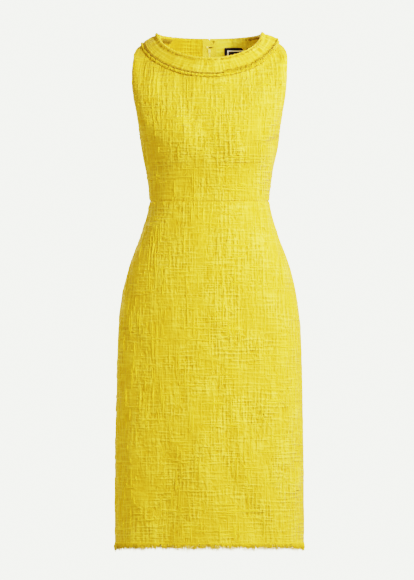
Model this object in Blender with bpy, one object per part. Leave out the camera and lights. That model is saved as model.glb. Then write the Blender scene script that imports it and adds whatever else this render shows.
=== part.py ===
"""Sleeveless knee-length sheath dress in slub tweed, filled out with nobody in it.

Metres, +Z up. The front of the dress faces -Y and +X is on the viewer's right. The origin
is level with the shoulder points, in the middle of the neck opening, where a wearer's
shoulders carry the dress. The tables of sections and folds are in millimetres.

Every panel is a wall of cloth: an outer face worked out from the sections, an inner face
one cloth thickness behind it, and level or upright faces where it is sewn to its neighbour.
"""
import math
from collections import namedtuple

import bmesh
import bpy
from mathutils import Matrix, Vector

MM = 0.001
CLOTH = 0.0020            # thickness of the tweed
SEAM = 0.0003             # space left between two pieces at a seam
REST = 0.0003             # space left under a piece that lies on another
HALF_COLUMNS = 12         # columns of faces from centre to side in the bodice
SKIRT_HALF_COLUMNS = 15   # and in the skirt
SKIRT_ROWS = 20           # rows of faces from waist to hem in the skirt

# One section of a bodice panel. It runs from its side end (on the side seam, the armhole
# edge or the shoulder seam) to the centre front or back. "square" is the exponent of its
# rounded outline seen from above, "fall" says how it drops from the side to the centre.
Section = namedtuple("Section", "side_x side_y side_z centre_y centre_z square fall")

FRONT_BODICE = (
    Section(120.5, 0.0, -318.0, 92.5, -318.0, 2.15, 1.5),    # waist seam
    Section(122.5, 0.0, -298.0, 95.0, -297.0, 2.15, 1.5),
    Section(125.5, 0.0, -276.0, 100.5, -275.0, 2.15, 1.5),
    Section(129.5, 0.0, -248.0, 108.0, -253.0, 2.20, 1.5),
    Section(134.5, 0.0, -219.0, 114.5, -232.0, 2.25, 1.5),
    Section(139.0, 0.0, -190.0, 119.0, -212.0, 2.25, 1.5),   # underarm
    Section(139.8, 23.0, -184.0, 121.0, -199.0, 2.25, 1.5),
    Section(142.0, 39.0, -169.0, 121.0, -186.0, 2.25, 1.5),
    Section(146.5, 49.0, -146.0, 119.0, -172.0, 2.25, 1.5),
    Section(151.5, 54.0, -118.0, 115.5, -157.0, 2.20, 1.5),
    Section(155.5, 54.0, -88.0, 111.0, -141.0, 2.20, 1.5),
    Section(157.0, 48.0, -59.0, 105.5, -125.0, 2.15, 1.4),
    Section(154.5, 36.0, -33.0, 100.0, -108.0, 2.10, 1.3),
    Section(151.0, 20.0, -16.0, 94.8, -92.0, 2.05, 1.25),
    Section(145.0, 0.0, -7.5, 89.5, -76.5, 2.00, 1.2),       # shoulder point
    Section(131.5, 0.0, 3.0, 84.0, -61.0, 2.00, 1.15),       # outer edge of the band
    Section(118.0, 0.0, 11.5, 78.0, -46.0, 2.00, 1.1),
    Section(102.0, 0.0, 18.0, 72.0, -30.0, 2.00, 1.05),      # neck edge
)
BACK_BODICE = (
    Section(120.5, 0.0, -318.0, 90.5, -318.0, 2.15, 1.5),
    Section(122.5, 0.0, -298.0, 92.5, -297.0, 2.15, 1.5),
    Section(125.5, 0.0, -276.0, 95.0, -275.0, 2.15, 1.5),
    Section(129.5, 0.0, -248.0, 98.0, -253.0, 2.20, 1.5),
    Section(134.5, 0.0, -219.0, 100.5, -232.0, 2.25, 1.5),
    Section(139.0, 0.0, -190.0, 102.5, -211.0, 2.25, 1.5),
    Section(139.8, 20.0, -184.0, 103.5, -196.0, 2.30, 1.5),
    Section(142.0, 33.0, -169.0, 104.0, -180.0, 2.30, 1.5),
    Section(146.5, 41.0, -146.0, 104.0, -162.0, 2.30, 1.5),
    Section(151.5, 45.0, -118.0, 103.0, -142.0, 2.30, 1.5),
    Section(155.5, 46.0, -88.0, 100.5, -120.0, 2.25, 1.5),
    Section(157.0, 42.0, -59.0, 97.0, -97.0, 2.20, 1.4),
    Section(154.5, 33.0, -33.0, 92.0, -75.0, 2.15, 1.4),
    Section(151.0, 18.5, -16.0, 86.5, -54.0, 2.10, 1.3),
    Section(145.0, 0.0, -7.5, 80.5, -35.5, 2.05, 1.25),
    Section(131.5, 0.0, 3.0, 74.0, -17.5, 2.00, 1.2),
    Section(118.0, 0.0, 11.5, 67.5, -3.5, 2.00, 1.0),
    Section(102.0, 0.0, 18.0, 61.0, 10.5, 2.00, 0.8),
)
NECK = len(FRONT_BODICE) - 1          # number of the neck edge's section
BAND_EDGE = NECK - 2                  # number of the section where the band ends
ROUND_STARTS = (5, 6, 12, 13)         # sections after which an extra row rounds the armhole

# One level section of the skirt, which is round all the way.
Ring = namedtuple("Ring", "side_x front_y back_y level square")

SKIRT = (
    Ring(120.5, 92.5, 90.5, -318.0, 2.15),      # waist seam
    Ring(127.5, 96.0, 99.0, -350.0, 2.15),
    Ring(141.5, 101.5, 109.0, -394.0, 2.15),
    Ring(157.5, 106.0, 119.0, -436.0, 2.20),
    Ring(169.5, 108.5, 126.0, -477.0, 2.20),
    Ring(178.5, 110.0, 130.0, -525.0, 2.20),
    Ring(184.5, 111.5, 131.0, -580.0, 2.20),    # fullest at the hip
    Ring(187.0, 113.0, 129.0, -660.0, 2.15),
    Ring(188.5, 115.0, 126.0, -740.0, 2.15),
    Ring(190.0, 117.0, 123.5, -825.0, 2.10),
    Ring(190.5, 118.0, 122.0, -915.0, 2.10),
    Ring(191.0, 119.0, 122.0, -1006.0, 2.10),   # hem
)

# One soft fold in the cloth: a trough where "out" is negative, a ridge where it is positive.
# It runs from its top to its bottom and fades at both, or only at its top where it ends
# on the hem. "half" is half of its width.
Fold = namedtuple("Fold", "top_x top_z end_x end_z half out")

FRONT_FOLDS = (
    Fold(-70.0, -158.0, -70.0, -232.0, 36.0, 9.5),      # fullness that the darts give
    Fold(70.0, -158.0, 70.0, -232.0, 36.0, 9.5),
    Fold(-84.0, -840.0, -90.0, -1060.0, 15.0, -6.5),
    Fold(-152.0, -770.0, -156.0, -975.0, 18.0, 4.0),
    Fold(-14.0, -760.0, -12.0, -960.0, 20.0, 4.0),
    Fold(18.0, -690.0, 47.0, -880.0, 13.0, -4.0),
    Fold(68.0, -670.0, 104.0, -870.0, 14.0, -5.0),
    Fold(84.0, -790.0, 116.0, -940.0, 18.0, 4.0),
    Fold(62.0, -900.0, 132.0, -1050.0, 17.0, -5.0),
    Fold(98.0, -530.0, 92.0, -690.0, 34.0, -3.5),
    Fold(-140.0, -500.0, -136.0, -690.0, 26.0, -3.0),
)
BACK_FOLDS = (
    Fold(72.0, -850.0, 80.0, -1060.0, 16.0, -6.0),
    Fold(-48.0, -700.0, -66.0, -890.0, 15.0, -4.5),
    Fold(140.0, -740.0, 150.0, -960.0, 18.0, 4.0),
    Fold(-118.0, -860.0, -126.0, -1060.0, 17.0, -5.0),
    Fold(34.0, -780.0, 30.0, -960.0, 18.0, 3.5),
    Fold(0.0, -340.0, 0.0, -420.0, 60.0, -4.0),         # hollow of the back over the hip
    Fold(-92.0, -930.0, -80.0, -1050.0, 15.0, 3.5),
)

# Neck band and its frayed edges
BAND_UNDER = REST                     # band's underside above the bodice
BAND_RISE = (0.0021, 0.0030, 0.0023)  # its upper face at outer edge, middle and neck edge
STRIP_DEPTH = 0.0020                  # width of a fringe's backing strip
HEM_STRIP_DEPTH = 0.0030
HEM_FRINGE = 0.0150                   # from the cloth's edge to the longest ends
OUTER_FRINGE = 0.0068
INNER_FRINGE = 0.0042
HEM_LOCKS = 96
OUTER_LOCKS = 64
INNER_LOCKS = 44
LOCK_SHARE = 0.70                     # share of a lock in its pitch

# Back opening
SLOT_HALF = 0.0027        # half the space between the back edges beside the zip's slider
SLOT_TOP_HALF = 0.0010    # and at the neck edge
SLOT_TOP_Z = (-0.005, 0.009)          # it narrows between these heights
SLOT_FULL_Z = -0.018      # it is widest above here
SLOT_END_Z = -0.048       # and closed from here down
TAPE_INNER_X = 0.0015
TAPE_OUTER_X = 0.0140
TAPE = 0.0010             # thickness of the zip tape
TAPE_END_Z = -0.530
SLIDER_Z = -0.0115
SLIDER_LENGTH = 0.0080
SLIDER_HALF = 0.0025
SLIDER_PLATE = 0.0008
WEB_HALF = 0.0008
BAIL_HALF = 0.0007        # half the bail's width along the hinge
BAIL_LEG = 0.0008
BAIL_CLEAR = 0.0011       # half the space between the bail's legs
PULL_BAR = 0.0009         # thickness of the pull tab and of its bar
PULL_LENGTH = 0.0165
PULL_HOLE = (0.0011, 0.00045, 0.0030)   # half width, near end and far end of its eye
HOOK_Z = -0.0042
HOOK_REACH = 0.0062       # from the centre to the far end of the hook and of the eye

# Label inside the back neck
LABEL_X = (0.031, 0.086)
LABEL_Z = (-0.006, -0.034)
LABEL = 0.0010
LABEL_GAP = 0.0005        # it is stitched on at its edges only

TWEED = (0.77, 0.63, 0.05)
BAND_TWEED = (0.79, 0.66, 0.06)
YARN = (0.80, 0.67, 0.09)
TAPE_CLOTH = (0.80, 0.70, 0.22)
ZIP_METAL = (0.72, 0.62, 0.18)
HOOK_METAL = (0.26, 0.18, 0.03)
LABEL_CLOTH = (0.012, 0.018, 0.045)

FRONT = -1
BACK = 1


def clear_scene():
    """Removes every object of the file."""
    for item in list(bpy.data.objects):
        bpy.data.objects.remove(item, do_unlink=True)


def finish(name, colour, roughness=0.9, metallic=0.0):
    """A Principled material of one piece."""
    material = bpy.data.materials.new(name)
    material.use_nodes = True
    shader = material.node_tree.nodes["Principled BSDF"]
    shader.inputs["Base Color"].default_value = (*colour, 1.0)
    shader.inputs["Roughness"].default_value = roughness
    shader.inputs["Metallic"].default_value = metallic
    return material


def place(name, mesh_data, material, smooth=True):
    """Links a bmesh to the scene as a named object, with its faces pointing out."""
    bmesh.ops.recalc_face_normals(mesh_data, faces=mesh_data.faces)
    mesh = bpy.data.meshes.new(name)
    mesh_data.to_mesh(mesh)
    mesh_data.free()
    if smooth:
        mesh.shade_smooth()
        mesh.set_sharp_from_angle(angle=math.radians(35.0))
    mesh.materials.append(material)
    thing = bpy.data.objects.new(name, mesh)
    bpy.context.scene.collection.objects.link(thing)
    return thing


def smooth_step(low, high, value):
    """0 below low, 1 above high, and an S curve between."""
    part = min(max((value - low) / (high - low), 0.0), 1.0)
    return part * part * (3.0 - 2.0 * part)


def read_table(table, position):
    """A row between the rows of a table, on a smooth curve through each column."""
    last = len(table) - 1
    index = min(int(position), last - 1)
    part = position - index
    before = table[max(index - 1, 0)]
    start = table[index]
    end = table[index + 1]
    after = table[min(index + 2, last)]
    values = []
    for p0, p1, p2, p3 in zip(before, start, end, after):
        slope_1 = (p2 - p0) / 2.0
        slope_2 = (p3 - p1) / 2.0
        square = part * part
        cube = square * part
        values.append((2 * cube - 3 * square + 1) * p1 + (cube - 2 * square + part) * slope_1
                      + (3 * square - 2 * cube) * p2 + (cube - square) * slope_2)
    return type(start)(*values)


def slot_half(height):
    """Half the space between the two back edges at a height."""
    opening = smooth_step(SLOT_END_Z, SLOT_FULL_Z, height)
    closing = (SLOT_HALF - SLOT_TOP_HALF) * smooth_step(*SLOT_TOP_Z, height)
    return SEAM / 2.0 + (SLOT_HALF - SEAM / 2.0) * opening - closing


def relief(facing, x, z):
    """How far the folds push the cloth out at a place."""
    total = 0.0
    for fold in (FRONT_FOLDS if facing == FRONT else BACK_FOLDS):
        length = fold.top_z - fold.end_z
        along = (fold.top_z - z / MM) / length
        fade = 0.35
        inside = smooth_step(-fade, fade, along) * smooth_step(-fade, fade, 1.0 - along)
        middle = fold.top_x + (fold.end_x - fold.top_x) * min(max(along, -fade), 1.0 + fade)
        across = (x / MM - middle) / fold.half
        total += fold.out * MM * inside * math.exp(-across * across / 2.0)
    return total


def along_section(side, centre, square, fall, facing, across):
    """A point of a section: across runs from -1 to 1, with 0 at the centre."""
    angle = abs(across) * math.pi / 2.0
    sine = math.sin(angle) ** (2.0 / square)
    cosine = max(math.cos(angle), 0.0)
    forward = side[1] + (centre[0] - side[1]) * cosine ** (2.0 / square)
    height = side[2] + (centre[1] - side[2]) * cosine ** fall
    inner = slot_half(centre[1]) if facing == BACK else 0.0
    x = math.copysign(inner + (side[0] - inner) * sine, across)
    return Vector((x, facing * (forward + SEAM / 2.0), height))


def bodice_point(facing, across, level):
    """A point of the bodice's outer face, before its folds."""
    row = read_table(FRONT_BODICE if facing == FRONT else BACK_BODICE, level)
    side = (row.side_x * MM, max(row.side_y, 0.0) * MM, row.side_z * MM + SEAM / 2.0)
    centre = (row.centre_y * MM, row.centre_z * MM + SEAM / 2.0)
    return along_section(side, centre, row.square, row.fall, facing, across)


def skirt_point(facing, across, level):
    """A point of the skirt's outer face, before its folds."""
    row = read_table(SKIRT, level)
    height = row.level * MM - SEAM / 2.0
    depth = (row.front_y if facing == FRONT else row.back_y) * MM
    side = (row.side_x * MM, 0.0, height)
    return along_section(side, (depth, height), row.square, 1.0, facing, across)


def outward(point_at, facing, across, level, top_level, flat_levels):
    """The direction out of the cloth, turned into the plane of a seam along its edges."""
    step = 0.01
    low = max(level - step, 0.0)
    high = min(level + step, top_level)
    left = max(across - step, -1.0)
    right = min(across + step, 1.0)
    if facing == BACK and across >= 0.0:
        left = max(left, 0.0)
    if facing == BACK and across <= 0.0 and left < 0.0:
        right = min(right, -1e-6)
    here = abs(across)
    rows = point_at(facing, across, high) - point_at(facing, across, low)
    columns = point_at(facing, right, level) - point_at(facing, left, level)
    normal = rows.cross(columns)
    if normal.y * facing < 0.0 or (here > 0.999 and normal.x * across < 0.0):
        normal.negate()
    on_side_seam = here > 0.999 and abs(point_at(facing, across, level).y) < SEAM
    if on_side_seam:
        normal.y = 0.0
    if here < 1e-3:
        normal.x = 0.0
    if any(abs(level - flat) < 1e-6 for flat in flat_levels):
        normal.z = 0.0
    return normal.normalized()


class Panel:
    """The outer points and outward directions of one cut piece, in rows and columns."""

    def __init__(self, point_at, facing, start, end, columns, levels, top_level, flat_levels):
        self.rows = []
        for level in levels:
            row = []
            for index in range(columns + 1):
                across = start + (end - start) * index / columns
                point = point_at(facing, across, level)
                turn = outward(point_at, facing, across, level, top_level, flat_levels)
                point = point + turn * relief(facing, point.x, point.z)
                row.append((point, turn))
            self.rows.append(row)
        self.levels = list(levels)

    def row_of(self, section):
        """The row of points that lies on a section of the table."""
        return self.levels.index(section)

    def at(self, column, row):
        """Point and direction on the panel's own faces, between its columns and rows."""
        last_row = len(self.rows) - 1
        last_column = len(self.rows[0]) - 1
        row_index = min(int(row), last_row - 1)
        column_index = min(int(column), last_column - 1)
        v = row - row_index
        u = column - column_index
        result = []
        for kind in (0, 1):
            a = self.rows[row_index][column_index][kind]
            b = self.rows[row_index][column_index + 1][kind]
            c = self.rows[row_index + 1][column_index][kind]
            d = self.rows[row_index + 1][column_index + 1][kind]
            result.append(a * (1 - u) * (1 - v) + b * u * (1 - v) + c * (1 - u) * v + d * u * v)
        return result[0], result[1].normalized()

    def column_at_x(self, row, x):
        """The fractional column of a row that lies at an x, past its end where it must."""
        points = self.rows[row]
        for index in range(len(points) - 1):
            low = points[index][0].x
            high = points[index + 1][0].x
            if min(low, high) <= x <= max(low, high):
                return index + (x - low) / (high - low)
        nearest = 0 if abs(points[0][0].x) < abs(points[-1][0].x) else len(points) - 2
        low = points[nearest][0].x
        high = points[nearest + 1][0].x
        return nearest + (x - low) / (high - low)

    def at_x(self, row, x):
        """Point and direction in a row at an x."""
        column = self.column_at_x(row, x)
        index = min(max(int(column), 0), len(self.rows[row]) - 2)
        part = column - index
        first, second = self.rows[row][index], self.rows[row][index + 1]
        return first[0].lerp(second[0], part), first[1].lerp(second[1], part).normalized()

    def at_place(self, x, z):
        """Point and direction on the panel at an x and a height."""
        for row in range(len(self.rows) - 1):
            low, low_turn = self.at_x(row, x)
            high, high_turn = self.at_x(row + 1, x)
            if min(low.z, high.z) <= z <= max(low.z, high.z):
                part = (z - low.z) / (high.z - low.z)
                return low.lerp(high, part), low_turn.lerp(high_turn, part).normalized()
        raise ValueError("no such place on the panel")


def wall(name, upper, lower, material):
    """A closed wall between two grids of points of the same size."""
    shape = bmesh.new()
    outer = [[shape.verts.new(point) for point in row] for row in upper]
    inner = [[shape.verts.new(point) for point in row] for row in lower]
    rows = len(outer) - 1
    columns = len(outer[0]) - 1
    for row in range(rows):
        for column in range(columns):
            for grid in (outer, inner):
                shape.faces.new((grid[row][column], grid[row][column + 1],
                                 grid[row + 1][column + 1], grid[row + 1][column]))
    for row in range(rows):
        for column in (0, columns):
            shape.faces.new((outer[row][column], outer[row + 1][column],
                             inner[row + 1][column], inner[row][column]))
    for column in range(columns):
        for row in (0, rows):
            shape.faces.new((outer[row][column], outer[row][column + 1],
                             inner[row][column + 1], inner[row][column]))
    return place(name, shape, material)


def cloth_wall(name, panel, colour):
    """The wall of a panel, one cloth thickness deep."""
    upper = [[point for point, turn in row] for row in panel.rows]
    lower = [[point - turn * CLOTH for point, turn in row] for row in panel.rows]
    return wall(name, upper, lower, finish(name, colour))


def neck_band(name, panel, colour):
    """The band that lies on a bodice panel round the neck."""
    upper = []
    lower = []
    for rise, row in zip(BAND_RISE, panel.rows[panel.row_of(BAND_EDGE):]):
        upper.append([point + turn * rise for point, turn in row])
        lower.append([point + turn * BAND_UNDER for point, turn in row])
    return wall(name, upper, lower, finish(name, colour))


def comb(name, frame_at, count, strip, reach, thickness, colour):
    """A fringe: locks side by side, fused at their roots into a narrow strip.

    frame_at gives, for a place from 0 to 1 along the edge and a distance away from the
    cloth, the point on the fringe's underside and the direction of its thickness.
    """
    stops = [0.0]
    for index in range(count):
        pitch = 1.0 / (count + 0.3)
        root = (index + (1.0 - LOCK_SHARE)) * pitch
        stops += [root, root + LOCK_SHARE * pitch]
    stops.append(1.0)
    shape = bmesh.new()
    near = []
    far = []
    for stop in stops:
        for rim, distance in ((near, SEAM), (far, SEAM + strip)):
            point, turn = frame_at(stop, distance)
            rim.append((shape.verts.new(point), shape.verts.new(point + turn * thickness)))
    last = len(stops) - 1
    for index in range(last):
        a, b = near[index], near[index + 1]
        c, d = far[index], far[index + 1]
        shape.faces.new((a[0], b[0], b[1], a[1]))
        shape.faces.new((a[0], c[0], d[0], b[0]))
        shape.faces.new((a[1], b[1], d[1], c[1]))
        if index % 2 == 0:
            shape.faces.new((c[0], c[1], d[1], d[0]))
            continue
        number = index // 2
        length = reach * (0.86 + 0.14 * math.sin(number * 2.4 + 0.7 * math.sin(number * 1.3)))
        sway = 0.16 * math.sin(number * 1.7 + 0.5)
        width = stops[index + 1] - stops[index]
        tips = []
        for share in (0.28, 0.72):
            place_along = stops[index] + width * (share + sway)
            point, turn = frame_at(min(max(place_along, 0.0), 1.0), length)
            tips.append(shape.verts.new(point + turn * thickness * 0.5))
        shape.faces.new((c[0], c[1], tips[0]))
        shape.faces.new((d[1], d[0], tips[1]))
        shape.faces.new((c[1], d[1], tips[1], tips[0]))
        shape.faces.new((d[0], c[0], tips[0], tips[1]))
    for index in (0, last):
        shape.faces.new((near[index][0], near[index][1], far[index][1], far[index][0]))
    return place(name, shape, finish(name, colour), smooth=False)


def hem_frame(panel):
    """Places below a skirt panel's hem."""
    columns = len(panel.rows[0]) - 1

    def frame_at(part, distance):
        point, turn = panel.at(part * columns, len(panel.rows) - 1)
        return point - turn * (CLOTH * 0.9) - Vector((0.0, 0.0, distance)), turn
    return frame_at


def outer_frame(panel):
    """Places on a bodice panel outside the band's outer edge."""
    columns = len(panel.rows[0]) - 1
    band_row = panel.row_of(BAND_EDGE)

    def frame_at(part, distance):
        column = part * columns
        edge, turn = panel.at(column, band_row)
        below, turn_below = panel.at(column, band_row - 1)
        share = distance / (edge - below).length
        point, turn = panel.at(column, band_row - share)
        return point + turn * (REST + 0.06 * distance), turn
    return frame_at


def inner_frame(panel):
    """Places beyond the neck edge, between the band and the bodice."""
    columns = len(panel.rows[0]) - 1
    neck_row = panel.row_of(NECK)

    def frame_at(part, distance):
        column = part * columns
        edge, turn = panel.at(column, neck_row)
        below, turn_below = panel.at(column, neck_row - 1)
        rising = (edge - below).normalized()
        return edge + rising * distance - turn * 0.0005, turn
    return frame_at


def extrude_outline(outline, depth, matrix):
    """A prism over an outline in a local plane, half its depth on each side of it."""
    shape = bmesh.new()
    corners = [shape.verts.new((x, y, -depth / 2.0)) for x, y in outline]
    base = shape.faces.new(corners)
    raised = bmesh.ops.extrude_face_region(shape, geom=[base])
    top = [item for item in raised["geom"] if isinstance(item, bmesh.types.BMVert)]
    bmesh.ops.translate(shape, verts=top, vec=(0.0, 0.0, depth))
    bmesh.ops.transform(shape, matrix=matrix, verts=shape.verts)
    return shape


def merge_in(thing, helper, operation):
    """Joins a helper to an object, or cuts it from it, and hides the helper."""
    helper.hide_render = True
    helper.display_type = "WIRE"
    step = thing.modifiers.new(operation.title(), "BOOLEAN")
    step.operation = operation
    step.solver = "EXACT"
    step.object = helper


def back_frame(panel, height):
    """Matrix at the centre back: X across, Y down the cloth, Z out of it."""
    point, turn = panel.at_place(TAPE_INNER_X, height)
    above, _ = panel.at_place(TAPE_INNER_X, height + 0.004)
    down = (point - above).normalized()
    down.x = 0.0
    down.normalize()
    out = Vector((1.0, 0.0, 0.0)).cross(down)
    if out.y < 0.0:
        out.negate()
    matrix = Matrix((Vector((1.0, 0.0, 0.0)), down, out)).transposed().to_4x4()
    matrix.translation = Vector((0.0, point.y, point.z))
    return matrix


def zip_tape(name, bodice, skirt, side):
    """One zip tape, under the edge of the two back panels that it is sewn to."""
    upper = []
    lower = []
    top = CLOTH + REST
    lines = [(bodice, row) for row in range(bodice.row_of(NECK), -1, -1)]
    lines += [(skirt, row) for row in range(1, len(skirt.rows))]
    for panel, row in lines:
        if panel.rows[row][0][0].z < TAPE_END_Z:
            break
        outer_line = []
        inner_line = []
        for x in (TAPE_INNER_X, TAPE_OUTER_X):
            point, turn = panel.at_x(row, side * x)
            outer_line.append(point - turn * top)
            inner_line.append(point - turn * (top + TAPE))
        upper.append(outer_line)
        lower.append(inner_line)
    return wall(name, upper, lower, finish(name, TAPE_CLOTH))


def zip_slider(panel):
    """The slider on the tapes, with the bail that its pull tab hangs on."""
    matrix = back_frame(panel, SLIDER_Z)
    tape_middle = -(CLOTH + REST + TAPE / 2.0)
    inside = TAPE / 2.0 + REST
    outside = inside + SLIDER_PLATE
    body_matrix = matrix @ Matrix.Translation((0.0, 0.0, tape_middle))
    upright = Matrix.Rotation(math.radians(90.0), 4, "X")
    h_outline = [(-SLIDER_HALF, -outside), (SLIDER_HALF, -outside), (SLIDER_HALF, -inside),
                 (WEB_HALF, -inside), (WEB_HALF, inside), (SLIDER_HALF, inside),
                 (SLIDER_HALF, outside), (-SLIDER_HALF, outside), (-SLIDER_HALF, inside),
                 (-WEB_HALF, inside), (-WEB_HALF, -inside), (-SLIDER_HALF, -inside)]
    body = extrude_outline(h_outline, SLIDER_LENGTH, body_matrix @ upright)
    slider = place("zip_slider", body, finish("zip_slider", ZIP_METAL, 0.35, 0.7), False)
    low = tape_middle + outside - 0.0002
    roof = pull_axis_height() + 0.00095
    reach = BAIL_CLEAR + BAIL_LEG
    outline = [(-reach, low), (-BAIL_CLEAR, low), (-BAIL_CLEAR, roof), (BAIL_CLEAR, roof),
               (BAIL_CLEAR, low), (reach, low), (reach, roof + BAIL_LEG),
               (-reach, roof + BAIL_LEG)]
    turn = Matrix(((0, 0, 1, 0), (1, 0, 0, 0), (0, 1, 0, 0), (0, 0, 0, 1)))
    bail = place("bail_helper", extrude_outline(outline, 2.0 * BAIL_HALF, matrix @ turn),
                 finish("bail_helper", ZIP_METAL, 0.35, 0.7), False)
    merge_in(slider, bail, "UNION")
    return slider


def pull_axis_height():
    """Height of the pull tab's hinge above the bodice's outer face."""
    return max(BAND_RISE) + PULL_BAR / 2.0 + 0.0006


def zip_pull(panel):
    """The pull tab, hanging from the bail by the bar at its upper end."""
    matrix = back_frame(panel, SLIDER_Z) @ Matrix.Translation((0.0, 0.0, pull_axis_height()))
    half_hole, near, far = PULL_HOLE
    top = -PULL_BAR / 2.0
    outline = [(-0.0019, top), (0.0019, top), (0.0019, far + 0.0012), (0.0027, 0.0095),
               (0.0027, PULL_LENGTH - 0.0022), (0.0014, PULL_LENGTH),
               (-0.0014, PULL_LENGTH), (-0.0027, PULL_LENGTH - 0.0022),
               (-0.0027, 0.0095), (-0.0019, far + 0.0012)]
    pull = place("zip_pull_tab", extrude_outline(outline, PULL_BAR, matrix),
                 finish("zip_pull_tab", ZIP_METAL, 0.35, 0.7), False)
    hole = [(-half_hole, near), (half_hole, near), (half_hole, far), (-half_hole, far)]
    cutter = place("pull_helper", extrude_outline(hole, 4.0 * PULL_BAR, matrix),
                   finish("pull_helper", ZIP_METAL), False)
    merge_in(pull, cutter, "DIFFERENCE")
    return pull


def hook_and_eye(panel):
    """The hook and the eye on the tapes that close the slot above the zip, hooked together."""
    matrix = back_frame(panel, HOOK_Z)
    face = -(CLOTH + REST + TAPE + REST)
    eye_low = face - 0.0007
    ring = [(-HOOK_REACH, -0.0018), (0.0015, -0.0018), (0.0015, 0.0018), (-HOOK_REACH, 0.0018)]
    eye_matrix = matrix @ Matrix.Translation((0.0, 0.0, (face + eye_low) / 2.0))
    eye = place("neck_eye", extrude_outline(ring, face - eye_low, eye_matrix),
                finish("neck_eye", HOOK_METAL, 0.4, 0.8), False)
    opening = [(-0.0018, -0.0012), (0.0006, -0.0012), (0.0006, 0.0012), (-0.0018, 0.0012)]
    cutter = place("eye_helper", extrude_outline(opening, 0.004, eye_matrix),
                   finish("eye_helper", HOOK_METAL), False)
    merge_in(eye, cutter, "DIFFERENCE")
    under = eye_low - REST
    low = under - 0.0010
    outline = [(HOOK_REACH, face), (HOOK_REACH, low), (-0.0010, low), (-0.0010, face - 0.0002),
               (-0.0002, face - 0.0002), (-0.0002, under), (0.0034, under), (0.0034, face)]
    upright = Matrix.Rotation(math.radians(90.0), 4, "X")
    place("neck_hook", extrude_outline(outline, 0.0015, matrix @ upright),
          finish("neck_hook", HOOK_METAL, 0.4, 0.8), False)


def label(panel):
    """The woven label inside the back neck, on the cloth's inner face."""
    columns = 6
    rows = 3
    upper = []
    lower = []
    for row in range(rows + 1):
        z = LABEL_Z[0] + (LABEL_Z[1] - LABEL_Z[0]) * row / rows
        near = []
        far = []
        for column in range(columns + 1):
            x = LABEL_X[0] + (LABEL_X[1] - LABEL_X[0]) * column / columns
            point, turn = panel.at_place(x, z)
            near.append(point - turn * (CLOTH + LABEL_GAP))
            far.append(point - turn * (CLOTH + LABEL_GAP + LABEL))
        upper.append(near)
        lower.append(far)
    return wall("label", upper, lower, finish("label", LABEL_CLOTH, 0.7))


def bodice_panel(facing, start, end, columns):
    """A bodice panel with a row of points for each section, and more round the armhole."""
    levels = []
    for section in range(NECK + 1):
        levels.append(section)
        if section in ROUND_STARTS:
            levels.append(section + 0.5)
    return Panel(bodice_point, facing, start, end, columns, levels, NECK, (0,))


def skirt_panel(facing, start, end, columns):
    """A skirt panel with its rows spread evenly over the rings of the table."""
    last = len(SKIRT) - 1
    levels = [last * row / SKIRT_ROWS for row in range(SKIRT_ROWS + 1)]
    return Panel(skirt_point, facing, start, end, columns, levels, last, (0, last))


def fringes(suffix, bodice, skirt, share):
    """The frayed edges of one stretch: hem, outer and inner edge of the band."""
    comb("hem_fringe_" + suffix, hem_frame(skirt), round(HEM_LOCKS * share),
         HEM_STRIP_DEPTH, HEM_FRINGE, 0.0016, YARN)
    comb("band_fringe_outer_" + suffix, outer_frame(bodice), round(OUTER_LOCKS * share),
         STRIP_DEPTH, OUTER_FRINGE, 0.0015, YARN)
    comb("band_fringe_inner_" + suffix, inner_frame(bodice), round(INNER_LOCKS * share),
         0.0015, INNER_FRINGE, 0.0018, YARN)


def main():
    """Builds every piece of the dress."""
    clear_scene()
    stretches = (("front", FRONT, -1.0, 1.0, 2, 0.5),
                 ("back_left", BACK, -1.0, -1e-6, 1, 0.25),
                 ("back_right", BACK, 1e-6, 1.0, 1, 0.25))
    bodices = {}
    skirts = {}
    for suffix, facing, start, end, halves, share in stretches:
        bodices[suffix] = bodice_panel(facing, start, end, halves * HALF_COLUMNS)
        skirts[suffix] = skirt_panel(facing, start, end, halves * SKIRT_HALF_COLUMNS)
        cloth_wall("bodice_" + suffix, bodices[suffix], TWEED)
        cloth_wall("skirt_" + suffix, skirts[suffix], TWEED)
        neck_band("neck_band_" + suffix, bodices[suffix], BAND_TWEED)
        fringes(suffix, bodices[suffix], skirts[suffix], share)
    zip_tape("zip_tape_left", bodices["back_left"], skirts["back_left"], -1)
    zip_tape("zip_tape_right", bodices["back_right"], skirts["back_right"], 1)
    zip_slider(bodices["back_right"])
    zip_pull(bodices["back_right"])
    hook_and_eye(bodices["back_right"])
    label(bodices["back_right"])


main()
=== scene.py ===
"""Looks of a sleeveless sheath dress in slub tweed, filled out with nobody in it.

Metres, +Z up. The front of the dress faces -Y and +X is on the viewer's right. The cloth
panels repeat the sections and folds of the solids on a finer grid, in millimetres. The
weave, the slub yarns, the frayed edges, the stitches and the zip teeth are added here.
"""

import logging
import math
from dataclasses import dataclass, field
from enum import Enum
from typing import Callable, NamedTuple, Sequence

import bpy
import numpy as np
from mathutils import Matrix, Vector


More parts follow.
